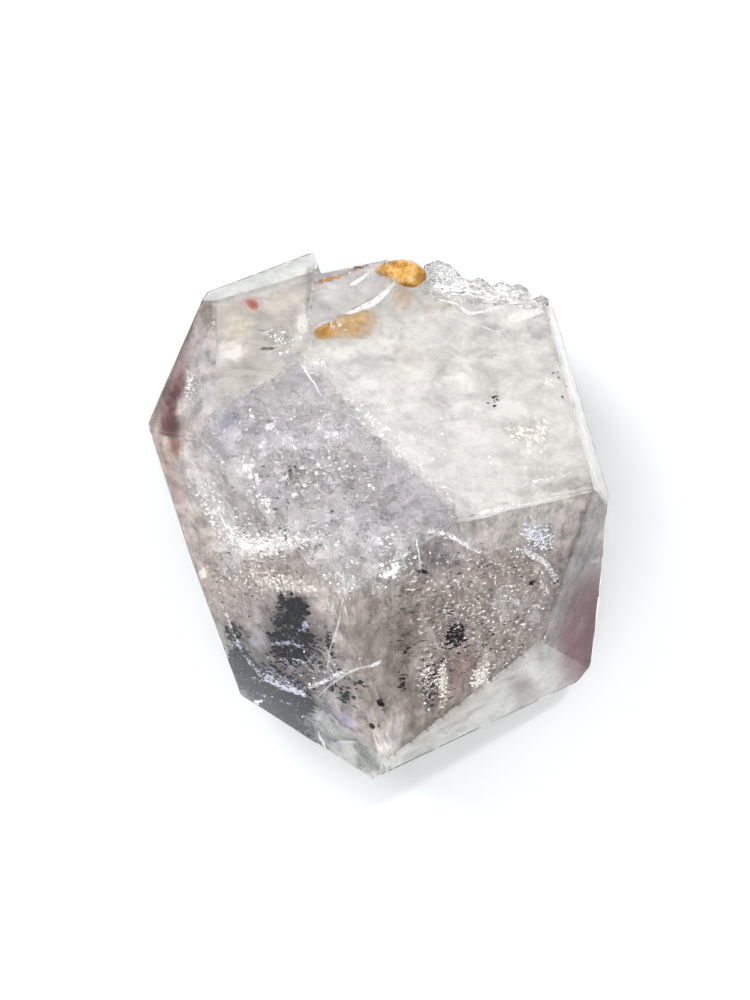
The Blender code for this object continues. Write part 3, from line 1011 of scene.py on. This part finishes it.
# %% Frost on healed arcs and rims, and painted glints on sparkling lines
FROST_AND_GLINTS = (
    *band(ARC, 10, 0.23, "#ffffff"),
    *band(((190, 368), (188, 385), (187, 400)), 5, 0.45, "#ffffff"),
    *band(((184, 440), (188, 470), (202, 503), (222, 545)), 6, 0.2, "#ffffff"),
    *band(((318, 352), (340, 385), (366, 414), (396, 446), (430, 478), (458, 508)), 7, 0.18, "#ffffff"),
    *band(((262, 354), (280, 353)), 2, 0.5, "#fbfbff"),
    *band(((480, 513), (500, 508), (520, 503)), 3, 0.35, "#fffdf8"),
    *band(((516, 486), (540, 480), (580, 472)), 3, 0.35, "#fffdf8"),
    *band(((309, 300), (304, 322), (299, 342)), 3, 0.4, "#ffffff"),
    *band(((384, 577), (392, 573), (399, 567)), 2.5, 0.8, "#ffffff"),
    *band(((240, 460), (262, 490), (270, 520)), 5, 0.25, "#ffffff"),
    *band(((517, 548), (535, 556), (548, 565), (557, 582)), 3.5, 0.4, "#ffffff"),
    *band(((428, 531), (452, 537), (470, 548)), 2.5, 0.5, "#f4f2f2"),
    *band(((226, 612), (232, 632), (243, 652), (258, 672), (284, 688), (312, 698)), 3, 0.5, "#dfe2f2"),
    *band(((308, 688), (328, 680), (348, 669)), 2.2, 0.6, "#f4f5fb"),
    *band(((262, 668), (286, 682), (305, 690)), 6, 0.42, "#d3d6ea"),
    # painted highlights: bluish-white bands across the black tar mass, and a spot at its upper right
    *band(((270, 630), (290, 627), (308, 632)), 2, 0.45, "#9da3d0"),
    *band(((269, 645), (288, 643), (307, 648)), 2.2, 0.5, "#c9cde6"),
    *band(((271, 660), (290, 659), (306, 663)), 2.2, 0.5, "#c9cde6"),
    ((305, 625), (4, 6), 0, 0.6, "#c9cdf0"),
)
print(len(FROST_AND_GLINTS), "patches of frost")

# %% Frost and painted glints in the wide glittering places
FROST_AND_GLINTS += (
    ((274, 334), (20, 9), 0, 0.42, "#ffffff"),
    ((300, 470), (120, 90), 0, 0.33, "#ffffff"),
    ((302, 476), (14, 20), 0, 0.1, "#ffffff"),
    ((352, 575), (30, 14), -30, 0.3, "#ffffff"),
    ((392, 560), (22, 32), 0, 0.16, "#ffffff"),
    ((270, 427), (8, 2.5), 0, 0.5, "#ffffff"),
    ((212, 330), (3, 28), 0, 0.4, "#f4f2f0"),
    ((532, 433), (24, 16), 0, 0.4, "#fff6ee"),
    ((548, 385), (8, 14), 20, 0.35, "#ffffff"),
    ((470, 440), (100, 60), -30, 0.2, "#ffffff"),
    ((340, 328), (16, 8), 10, 0.25, "#ffffff"),
    ((538, 536), (20, 15), -40, 0.45, "#e3e7fb"),
    ((443, 688), (6, 27), 0, 0.55, "#f1e9dc"),
    ((480, 677), (9, 17), -25, 0.55, "#f1e9dc"),
    ((426, 680), (12, 30), 0, 0.35, "#e9e2da"),
    ((480, 600), (110, 90), 0, 0.36, "#ffffff"),
    ((300, 586), (40, 11), -8, 0.36, "#fdf6ea"),
    ((240, 575), (60, 50), 20, 0.32, "#fbf3ea"),
    ((203, 573), (4, 5), 0, 0.6, "#fbe8d0"),
    ((330, 610), (10, 16), 0, 0.36, "#fbfaf8"),
    ((322, 668), (26, 22), 0, 0.34, "#e6e8f2"),
    # painted highlight: a small white one below the tar
    ((257, 702), (9, 3), 12, 0.9, "#ffffff"),
    *band(((246, 676), (272, 684), (304, 696)), 2.2, 0.55, "#d3d6ee"),
    *band(((250, 690), (276, 700), (300, 706)), 2.2, 0.52, "#c3c6e2"),
    # painted highlight: a bluish one on the tar mass
    ((290, 640), (16, 8), 0, 0.22, "#8f93b8"),
    ((480, 720), (80, 8), 30, 0.3, "#ffffff"),
    ((260, 276), (50, 6), 22, 0.3, "#ffffff"),
    ((360, 285), (40, 12), 25, 0.3, "#ffffff"),
)
print(len(FROST_AND_GLINTS), "patches of frost")

# %% Blue scraps, and the sheets that hold all the specks
BLUE_SCRAPS = (
    ((367, 535), (7, 9), 0, 0.5, "#6f72ab"),
    ((320, 362), (9, 8), 0, 0.42, "#5f618f"),
    ((461, 619), (4, 4), 0, 0.5, "#9a9ad6"),
    ((338, 747), (4, 9), 0, 0.5, "#7f90c8"),
)
SPECK_RIPPLE = 0.3  # mm
BARE = (0.0, "#ffffff")  # the base of a sheet that has only patches
SHEETS = (  # name, material, patches, and each face with its depth in mm
    (
        "tar_and_shade_near",
        tar_and_shade_crumbs,
        TAR_AND_SHADE,
        (("lower_left", 1.0), ("bottom_left", 0.7), ("lower_right", 2.0), ("plateau", 1.6)),
    ),
    ("tar_and_shade_far", tar_and_shade_crumbs, TAR_AND_SHADE, (("bottom_left", 1.2), ("upper_left", 0.8))),
    ("frost_and_glints_near", frosted_breaks_and_glints, FROST_AND_GLINTS, (("lower_left", 0.7), ("bottom_left", 0.5), ("lower_right", 1.4))),
    (
        "frost_and_glints_top",
        frosted_breaks_and_glints,
        FROST_AND_GLINTS,
        (("plateau", 1.3), ("upper_left", 0.9), ("upper_right", 0.9), ("left", 0.8)),
    ),
    ("frost_and_glints_rims", frosted_breaks_and_glints, FROST_AND_GLINTS, (("wedge", 0.6), ("bottom_right", 0.8), ("gap_floor", 0.6))),
    ("blue", frosted_breaks_and_glints, BLUE_SCRAPS, (("plateau", 1.0), ("lower_right", 0.9), ("bottom_left", 0.6))),
)
for name, material, patches, faces in SHEETS:
    for face, depth in faces:
        veil(f"{name}_{face}", material, face, depth, SPECK_RIPPLE, BARE, patches)

# %% Frost and painted glints in the broken shoulder
SHOULDER_FROST_AND_GLINTS = (
    ((446, 276), (26, 20), -20, 0.7, "#f0f1f1"),
    ((498, 290), (48, 12), -14, 0.5, "#fafafa"),
    ((540, 300), (12, 8), 0, 0.3, "#d9dada"),
    ((508, 290), (18, 6), -10, 0.4, "#ffffff"),
)
SHOULDER_BOX = (424, 256, 560, 320)
under_skin("frost_shoulder", milky_fog, SHOULDER_BOX, 0.9, (0.0, "#dfe0e1"), SHOULDER_FROST_AND_GLINTS)
under_skin("glitter_shoulder", frosted_breaks_and_glints, SHOULDER_BOX, 0.4, BARE, SHOULDER_FROST_AND_GLINTS)

# %% [markdown]
# Flakes are anthraxolite, the black tar that was in the pocket when the crystal grew. It breaks like
# coal, black with a cold blue sheen. The larger ones are closed lumps of twenty faces, laid out in swarms
# from seeded random numbers inside the same dark places, and one joined mesh holds them all.


# %% Swarms of small bodies
DRAWS = random.Random(41)
CROWDING = 0.5  # spread of a swarm, in half lengths of its oval
LUMP_LENGTH, LUMP_WIDTHS = 1.5, (0.5, 1.0)  # of its size
LUMP_SPIN, LUMP_TIP = 0.35, 0.5  # spread of its turns, in radians
LUMP_RAGGED, SCRAP_RAGGED = 0.35, 0.45  # share by which a corner stands in or out
LUMP_MARGIN, SCRAP_MARGIN = 0.3, 0.2  # mm from the skin


def place_in(oval, depths):
    """A random point that shows inside an oval of the photograph, at a random depth in mm, or None."""
    middle, halves, turn = oval
    t = math.radians(turn)
    u, v = DRAWS.gauss(0, CROWDING) * halves[0], DRAWS.gauss(0, CROWDING) * halves[1]
    x = middle[0] + u * math.cos(t) - v * math.sin(t)
    y = middle[1] - u * math.sin(t) - v * math.cos(t)
    return seen_at(x, y, DRAWS.uniform(*depths))


# %% Lumps and scraps
def lumps(bm, oval, count, depths, sizes, flatness):
    """Adds closed, flat, ragged lumps, long across the picture, to a mesh."""
    for _ in range(count):
        place = place_in(oval, depths)
        size = DRAWS.uniform(*sizes) ** 1.5 / sizes[1] ** 0.5 * MM / 2  # small ones are commoner
        turn = Matrix.Rotation(DRAWS.gauss(0, LUMP_SPIN), 4, "Z")
        turn @= Matrix.Rotation(DRAWS.gauss(0, LUMP_TIP), 4, "X")
        shape = Matrix.Diagonal((LUMP_LENGTH, DRAWS.uniform(*LUMP_WIDTHS), flatness, 1))
        ragged = [1 + DRAWS.uniform(-LUMP_RAGGED, LUMP_RAGGED) for _ in range(12)]
        if place is None or not inside(place, LUMP_MARGIN):
            continue
        made = bmesh.ops.create_icosphere(bm, subdivisions=1, radius=size)["verts"]
        for vert, swell in zip(made, ragged):
            vert.co = place + turn @ shape @ (vert.co * swell)


def scraps(bm, oval, count, depths, sizes):
    """Adds thin five-cornered scraps, turned every way, to a mesh."""
    for _ in range(count):
        place = place_in(oval, depths)
        size = DRAWS.uniform(*sizes) * MM / 2
        axis = Vector([DRAWS.gauss(0, 1) for _ in range(3)]).normalized()
        turn = Matrix.Rotation(DRAWS.uniform(0, math.tau), 4, axis)
        ragged = [1 + DRAWS.uniform(-SCRAP_RAGGED, SCRAP_RAGGED) for _ in range(5)]
        if place is None or not inside(place, SCRAP_MARGIN):
            continue
        made = bmesh.ops.create_circle(bm, cap_ends=True, segments=5, radius=size)["verts"]
        for vert, swell in zip(made, ragged):
            vert.co = place + turn @ (vert.co * swell)


def swarm(name, material, maker, rows):
    """One joined mesh from rows of (oval, count and sizes)."""
    joined = bmesh.new()
    for row in rows:
        part = bmesh.new()
        maker(part, *row)
        mesh = bpy.data.meshes.new("row")
        part.to_mesh(mesh)
        part.free()
        joined.from_mesh(mesh)
        bpy.data.meshes.remove(mesh)
    return piece_from(name, joined, material)


# %% Black tar flakes
tar, tree, out = new_material("anthraxolite")
patchy = wave_of(tree, 1.2, detail=5.0)
blacks = add(tree, "ShaderNodeValToRGB", {"Fac": patchy})
set_stops(blacks, ((0.35, "#050508"), (0.55, "#0f0f18"), (0.7, "#23243f")))
dull = add(tree, "ShaderNodeMapRange", (patchy, 0.3, 0.7, 0.15, 0.5))
shader = add(tree, "ShaderNodeBsdfPrincipled", {"Base Color": blacks, "Roughness": dull, "IOR": TAR_IOR})
tree.links.new(shader, out.inputs["Surface"])
TAR_SWARMS = (  # oval, count, depths in mm, sizes in mm, flatness
    (((285, 640), (24, 28), 0), 50, (3.0, 16.0), (0.3, 1.5), 0.5),
    (((256, 672), (24, 20), -20), 60, (3.0, 12.0), (0.3, 1.3), 0.5),
    (((440, 650), (30, 30), 0), 30, (4.0, 18.0), (0.2, 0.8), 0.5),
    (((292, 630), (20, 20), 0), 90, (0.8, 3.0), (0.3, 1.2), 0.4),
    (((297, 606), (12, 9), -35), 70, (0.8, 2.5), (0.3, 1.2), 0.4),
    (((238, 660), (10, 14), -10), 80, (0.8, 2.5), (0.3, 1.3), 0.4),
    (((268, 688), (34, 11), -28), 110, (0.8, 3.0), (0.3, 1.2), 0.4),
    (((286, 656), (18, 10), 0), 60, (0.8, 3.0), (0.2, 1.0), 0.4),
    (((320, 665), (34, 24), 0), 70, (1.0, 4.0), (0.2, 0.7), 0.5),
    (((235, 635), (12, 12), 0), 40, (0.8, 2.5), (0.2, 0.7), 0.5),
    (((352, 690), (20, 14), 0), 24, (0.8, 3.0), (0.2, 0.8), 0.5),
    (((250, 595), (26, 22), 0), 30, (0.8, 3.0), (0.15, 0.45), 0.5),
    (((450, 640), (16, 18), 0), 30, (1.0, 4.0), (0.15, 0.6), 0.5),
    (((480, 350), (40, 20), 0), 7, (0.5, 1.5), (0.15, 0.25), 0.8),
    (((493, 402), (6, 8), 0), 16, (0.5, 2.0), (0.2, 0.6), 0.5),
    (((560, 385), (5, 20), 15), 10, (0.3, 1.0), (0.15, 0.5), 0.5),
)
swarm("tar_flakes", tar, lumps, TAR_SWARMS)

BALL_PIXEL, BALL_DEPTH, BALL_SIZE = (372, 726), 1.2, 1.15  # the last two in mm
ball = bmesh.new()
bmesh.ops.create_icosphere(ball, subdivisions=3, radius=BALL_SIZE * MM / 2)
bmesh.ops.translate(ball, verts=ball.verts[:], vec=seen_at(*BALL_PIXEL, BALL_DEPTH))
piece_from("tar_ball", ball, tar)

# %% [markdown]
# An air film in a crack mirrors almost all light that meets it at a slant. Foil is the nearest thing to
# it that renders fast: a bright metal with a little roughness, broken up by noise so that the film looks
# torn. Small scraps of it, turned every way, are the glitter of the broken middle.

# %% Air films
film, tree, out = new_material("air_film")
torn = wave_of(tree, 0.6, detail=4.0)
ins = {
    "Base Color": linear("#ffffff"),
    "Metallic": 1.0,
    "Roughness": add(tree, "ShaderNodeMapRange", (torn, 0.3, 0.7, 0.05, 0.35)),
    "Alpha": add(tree, "ShaderNodeMapRange", (torn, 0.38, 0.55, 0.35, 1.0)),
}
tree.links.new(add(tree, "ShaderNodeBsdfPrincipled", ins), out.inputs["Surface"])
GLINT_SWARMS = (  # oval, count, depths in mm, sizes in mm
    (((292, 640), (20, 26), 0), 70, (0.3, 0.9), (0.12, 0.35)),
    (((270, 690), (34, 14), -30), 60, (0.3, 0.8), (0.12, 0.35)),
    (((222, 515), (34, 10), -60), 160, (0.5, 2.0), (0.12, 0.4)),
    (((290, 542), (56, 10), 5), 240, (0.5, 2.0), (0.12, 0.4)),
    (((350, 575), (28, 14), -30), 120, (0.5, 2.0), (0.12, 0.4)),
    (((390, 560), (24, 30), 0), 140, (0.5, 2.0), (0.12, 0.4)),
    (((192, 385), (7, 20), 8), 90, (0.3, 1.5), (0.12, 0.35)),
    (((280, 342), (26, 14), 0), 90, (0.5, 1.5), (0.12, 0.35)),
    (((320, 362), (10, 10), 0), 50, (0.5, 1.5), (0.12, 0.4)),
    (((302, 478), (16, 24), 0), 40, (0.5, 2.0), (0.12, 0.3)),
    (((310, 580), (40, 16), 0), 120, (0.5, 2.0), (0.12, 0.35)),
    (((538, 540), (18, 16), -40), 130, (0.6, 2.0), (0.12, 0.35)),
    (((430, 685), (14, 28), 5), 110, (0.8, 3.0), (0.15, 0.5)),
    (((480, 677), (9, 17), -30), 50, (0.8, 3.0), (0.15, 0.5)),
    (((322, 662), (36, 28), 0), 140, (0.4, 2.0), (0.15, 0.5)),
    (((532, 433), (24, 16), 0), 60, (0.5, 1.5), (0.12, 0.35)),
    (((470, 430), (100, 70), -25), 70, (0.5, 2.5), (0.1, 0.28)),
    (((320, 430), (100, 60), 0), 160, (0.4, 2.0), (0.1, 0.35)),
    (((480, 600), (70, 50), 0), 80, (0.6, 3.0), (0.1, 0.3)),
)
swarm("glints", film, scraps, GLINT_SWARMS)

# %% [markdown]
# Cracks show as bright lines and blades. Each one is a strip of film that follows a route of pixels just
# under the skin and runs down into the stone, so it is a line from above and a sheet from the side.


# %% Cracks
CRACK_CELLS = 24  # along a crack
TAPER = 0.6  # the lower, the blunter a crack's ends
LONG_WOBBLE, SHORT_WOBBLE = 9, 2.5  # pixels between the bends of its path
LAST = 0.9999  # the end of a route, a little before its last point
print("a crack is", CRACK_CELLS, "cells long")


def crack(bm, route, width, depths):
    """Adds a strip: its upper edge follows the route, and its lower edge lies deeper and beside it."""
    made = bmesh.ops.create_grid(bm, x_segments=CRACK_CELLS, y_segments=2, size=0.5)["verts"]
    for vert in made:
        share = min(LAST, max(0.0, vert.co.x + 0.5)) * (len(route) - 1)
        down = vert.co.y + 0.5
        (ax, ay), (bx, by) = route[int(share)], route[int(share) + 1]
        part = share % 1
        swell = math.sin(math.pi * (vert.co.x + 0.5)) ** TAPER
        x = ax + (bx - ax) * part + width[0] * down * swell
        y = ay + (by - ay) * part + width[1] * down * swell
        wobble = noise.noise(Vector((x, y, depths[1])) / LONG_WOBBLE)
        wobble += 0.5 * noise.noise(Vector((y, x, depths[0])) / SHORT_WOBBLE)
        place = seen_at(x + wobble, y - wobble, depths[0] + (depths[1] - depths[0]) * down)
        vert.co = place if place else HEART  # a place beside the stone is drawn back into it


# %% White cracks
healed, tree, out = new_material("white_crack")
torn = wave_of(tree, 0.9, detail=5.0)
ins = {
    "Base Color": linear("#ffffff"),
    "Roughness": add(tree, "ShaderNodeMapRange", (torn, 0.3, 0.7, 0.1, 0.4)),
    "Alpha": add(tree, "ShaderNodeMapRange", (torn, 0.35, 0.55, 0.5, 1.0)),
}
tree.links.new(add(tree, "ShaderNodeBsdfPrincipled", ins), out.inputs["Surface"])
CRACKS = (  # route in pixels, width in pixels, depths in mm
    (((468, 517), (500, 509), (545, 499), (596, 487)), (0, 1.2), (0.15, 0.3)),
    (((340, 314), (356, 308), (372, 300), (385, 290), (396, 280)), (3, 5), (0.3, 0.6)),
    (((350, 284), (358, 279), (372, 270)), (1, 3), (0.3, 0.6)),
    (((307, 265), (305, 294), (308, 320), (311, 345)), (2, 0), (0.4, 3.0)),
    (((428, 297), (456, 302), (468, 312), (486, 310), (505, 304), (524, 298)), (0, 3), (0.4, 0.8)),
    (((474, 322), (490, 328), (505, 335)), (0, 2), (0.4, 1.0)),
    (((517, 548), (535, 556), (548, 565), (557, 582)), (0.6, 1.0), (0.8, 1.5)),
    (((238, 647), (246, 660), (258, 674), (280, 688), (316, 698)), (1, 2), (0.4, 1.0)),
    (((316, 698), (330, 684), (350, 670), (378, 662)), (0, 2.5), (0.4, 1.0)),
    (((340, 610), (336, 628), (329, 649), (326, 672)), (3, 1), (0.4, 1.5)),
    (((305, 640), (322, 652), (332, 674), (336, 700)), (2, 1), (0.4, 1.5)),
    (((206, 478), (214, 505), (226, 528), (240, 552)), (2.5, 0.5), (0.3, 1.0)),
    (((299, 362), (308, 376), (322, 395)), (2, 0), (0.3, 0.8)),
    (((395, 452), (415, 460), (430, 478), (446, 500)), (2, 2), (0.4, 1.0)),
    (((384, 577), (392, 574), (400, 566)), (1, -4), (0.2, 0.6)),
    (((415, 533), (420, 552), (421, 573)), (-1.5, 0), (0.3, 1.0)),
    (((332, 567), (343, 580), (344, 592), (340, 608)), (2, 0), (0.3, 1.0)),
    (((316, 728), (322, 745), (326, 758)), (4, 0), (0.5, 1.5)),
    (((368, 666), (375, 662), (382, 660)), (0, 4), (0.6, 1.0)),
)
cracks = bmesh.new()
for route, width, depths in CRACKS:
    crack(cracks, route, width, depths)
piece_from("cracks", cracks, healed)

# %% [markdown]
# Iron-bearing water has run into the broken end. It left a crust of limonite inside and on the knob, and
# a thin orange film in the cracks below it. The crust is a lumpy body just inside the knob's clear skin.
# The film is made in the way of the veils, close under the face, with wisps of its own.

# %% Iron crust and stain
KNOB_MIDDLE = HEART + Vector((4.1, 37.9, 14.2)) * MM
KNOB_HALVES = (3.7, 2.1, 2.6)  # mm
KNOB_TURN = math.radians(-14.0)
CRUST_SHARE = 0.86  # of the knob, which the crust fills
LUMPINESS, LUMP_COUNT = 0.07, 2.2
RUSTS = ((0.36, "#86560f"), (0.46, "#bf8626"), (0.55, "#d9b05c"), (0.64, "#f4e8cc"))

limonite, tree, out = new_material("limonite")
mottled = wave_of(tree, 2.0, detail=6.0, rough=0.65)
rusty = add(tree, "ShaderNodeValToRGB", {"Fac": mottled})
set_stops(rusty, RUSTS)
ins = {
    "Base Color": rusty,
    "Roughness": add(tree, "ShaderNodeMapRange", (mottled, 0.3, 0.7, 0.6, 0.3)),
    "Alpha": add(tree, "ShaderNodeMapRange", (mottled, 0.55, 0.7, 1.0, 0.35)),
    "Normal": add(tree, "ShaderNodeBump", {"Strength": 0.6, "Distance": 0.1 * MM, "Height": mottled}),
}
tree.links.new(add(tree, "ShaderNodeBsdfPrincipled", ins), out.inputs["Surface"])

crust = bmesh.new()
bmesh.ops.create_icosphere(crust, subdivisions=4, radius=1.0)
for vert in crust.verts:
    swell = 1 + LUMPINESS * noise.fractal(vert.co * LUMP_COUNT, 1.0, 2.0, 4)
    vert.co = Matrix.Diagonal(KNOB_HALVES) @ (vert.co * swell * CRUST_SHARE)
    vert.co = KNOB_MIDDLE + Matrix.Rotation(KNOB_TURN, 3, "Z") @ vert.co * MM
piece_from("iron_crust", crust, limonite)

# %% Orange films in the cracks below the knob
stain = fog_material("iron_stain", 2.5, (0.8, 1.1, 1.0), 0.2, thread_size=1.5, dark=0.6)
IRON_STAINS = (
    ((322, 331), (10, 8), 12, 0.8, "#c8913a"),
    ((336, 326), (16, 10), 20, 0.5, "#d8ac60"),
    ((354, 318), (20, 12), 22, 0.45, "#dfba82"),
    ((362, 326), (15, 14), 0, 0.4, "#d9b070"),
    ((345, 333), (20, 7), 0, 0.3, "#d9b27a"),
    ((298, 352), (9, 5), -10, 0.8, "#cf9646"),
    ((403, 298), (12, 12), 0, 0.35, "#d9ac6c"),
    ((437, 306), (16, 6), 0, 0.25, "#dcc29a"),
)
IRON_CRUMBS_AND_GLINTS = (
    ((328, 330), (15, 8), 12, 0.36, "#b97c26"),
    ((360, 320), (18, 12), 10, 0.26, "#c99550"),
    ((298, 352), (9, 5), -10, 0.4, "#c08434"),
    # painted glints: white specks on the stain
    ((338, 324), (12, 5), 10, 0.36, "#fff4e2"),
)
veil("stain_upper_right", stain, "upper_right", 1.4, 0.2, (0.0, "#dcb277"), IRON_STAINS)
veil("stain_crumbs_and_glints", frosted_breaks_and_glints, "upper_right", 1.0, 0.2, (0.0, "#dcb277"), IRON_CRUMBS_AND_GLINTS)
GAP_STAINS = (
    ((330, 279), (17, 3), 14, 1.0, "#c58a3c"),
    ((357, 268), (12, 2.5), 14, 0.8, "#a8744a"),
    ((386, 270), (12, 7), 0, 0.8, "#d9a24a"),
)
veil("stain_gap", stain, "gap_floor", 0.5, 0.1, (0.0, "#d79a45"), GAP_STAINS)

# %% [markdown]
# The stone lies on a plain pale floor. The light is soft: a bright, even room, a wide panel overhead, one
# to the side and one in front, which give the faces their sheen, and a small lamp for the glints. They
# stand far off, so that the floor stays even. The floor itself is a mid grey that they light up to white,
# because the steep faces mirror it, and a white one would turn every black behind them grey. Light finds
# its way into quartz only by many turns, so the number of bounces is raised, but no further than it
# shows.

# %% Floor
FLOOR_GAP = 0.05 * MM
FLOOR_HALF = 1.6  # metres
floor_mesh = bmesh.new()
bmesh.ops.create_grid(floor_mesh, x_segments=1, y_segments=1, size=FLOOR_HALF)
bmesh.ops.translate(floor_mesh, verts=floor_mesh.verts[:], vec=(0, 0, -FLOOR_GAP))
floor_data = bpy.data.meshes.new("floor")
floor_mesh.to_mesh(floor_data)
floor_mesh.free()
floor = bpy.data.objects.new("floor", floor_data)
bpy.context.scene.collection.objects.link(floor)
paper, tree, out = new_material("pale_paper")
shader = add(tree, "ShaderNodeBsdfPrincipled", {"Base Color": linear("#b0b2b2"), "Roughness": 0.8})
tree.links.new(shader, out.inputs["Surface"])
floor_data.materials.append(paper)
floor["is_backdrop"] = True
print("floor", 2 * FLOOR_HALF, "m wide")

# %% Light
LAMPS = (  # name, place and side in metres, power in watts
    ("sky_panel", (0.0, 0.23, 2.26), 2.76, 38.0),
    ("side_panel", (-0.80, 0.69, 0.99), 0.69, 20.3),
    ("front_panel", (-0.25, -1.20, 1.0), 1.9, 24.5),
    ("glint_lamp", (0.28, 0.50, 1.22), 0.09, 7.9),
)
for name, place, side, power in LAMPS:
    light = bpy.data.lights.new(name, "AREA")
    light.size = side
    light.energy = power
    lamp = bpy.data.objects.new(name, light)
    lamp.location = place
    lamp.rotation_euler = (HEART - Vector(place)).to_track_quat("-Z", "Y").to_euler()
    bpy.context.scene.collection.objects.link(lamp)
    print(name, power, "W")

world = bpy.data.worlds.new("bright_room")
world.use_nodes = True
room = world.node_tree.nodes["Background"]
room.inputs["Color"].default_value = linear("#fbfcff")
room.inputs["Strength"].default_value = 1.0
scene = bpy.context.scene
scene.world = world
scene.view_settings.view_transform = "Standard"
scene.cycles.max_bounces = 8
scene.cycles.transmission_bounces = 8
scene.cycles.glossy_bounces = 3
scene.cycles.diffuse_bounces = 2
scene.cycles.transparent_max_bounces = 14

# %% Sizes and the end
seen_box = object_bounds()
sizes = {"cad": [list(corner) for corner in cad_box], "visual": [list(corner) for corner in seen_box]}
print("visual model", [round((b - a) / MM, 1) for a, b in zip(*sizes["visual"])], "mm")
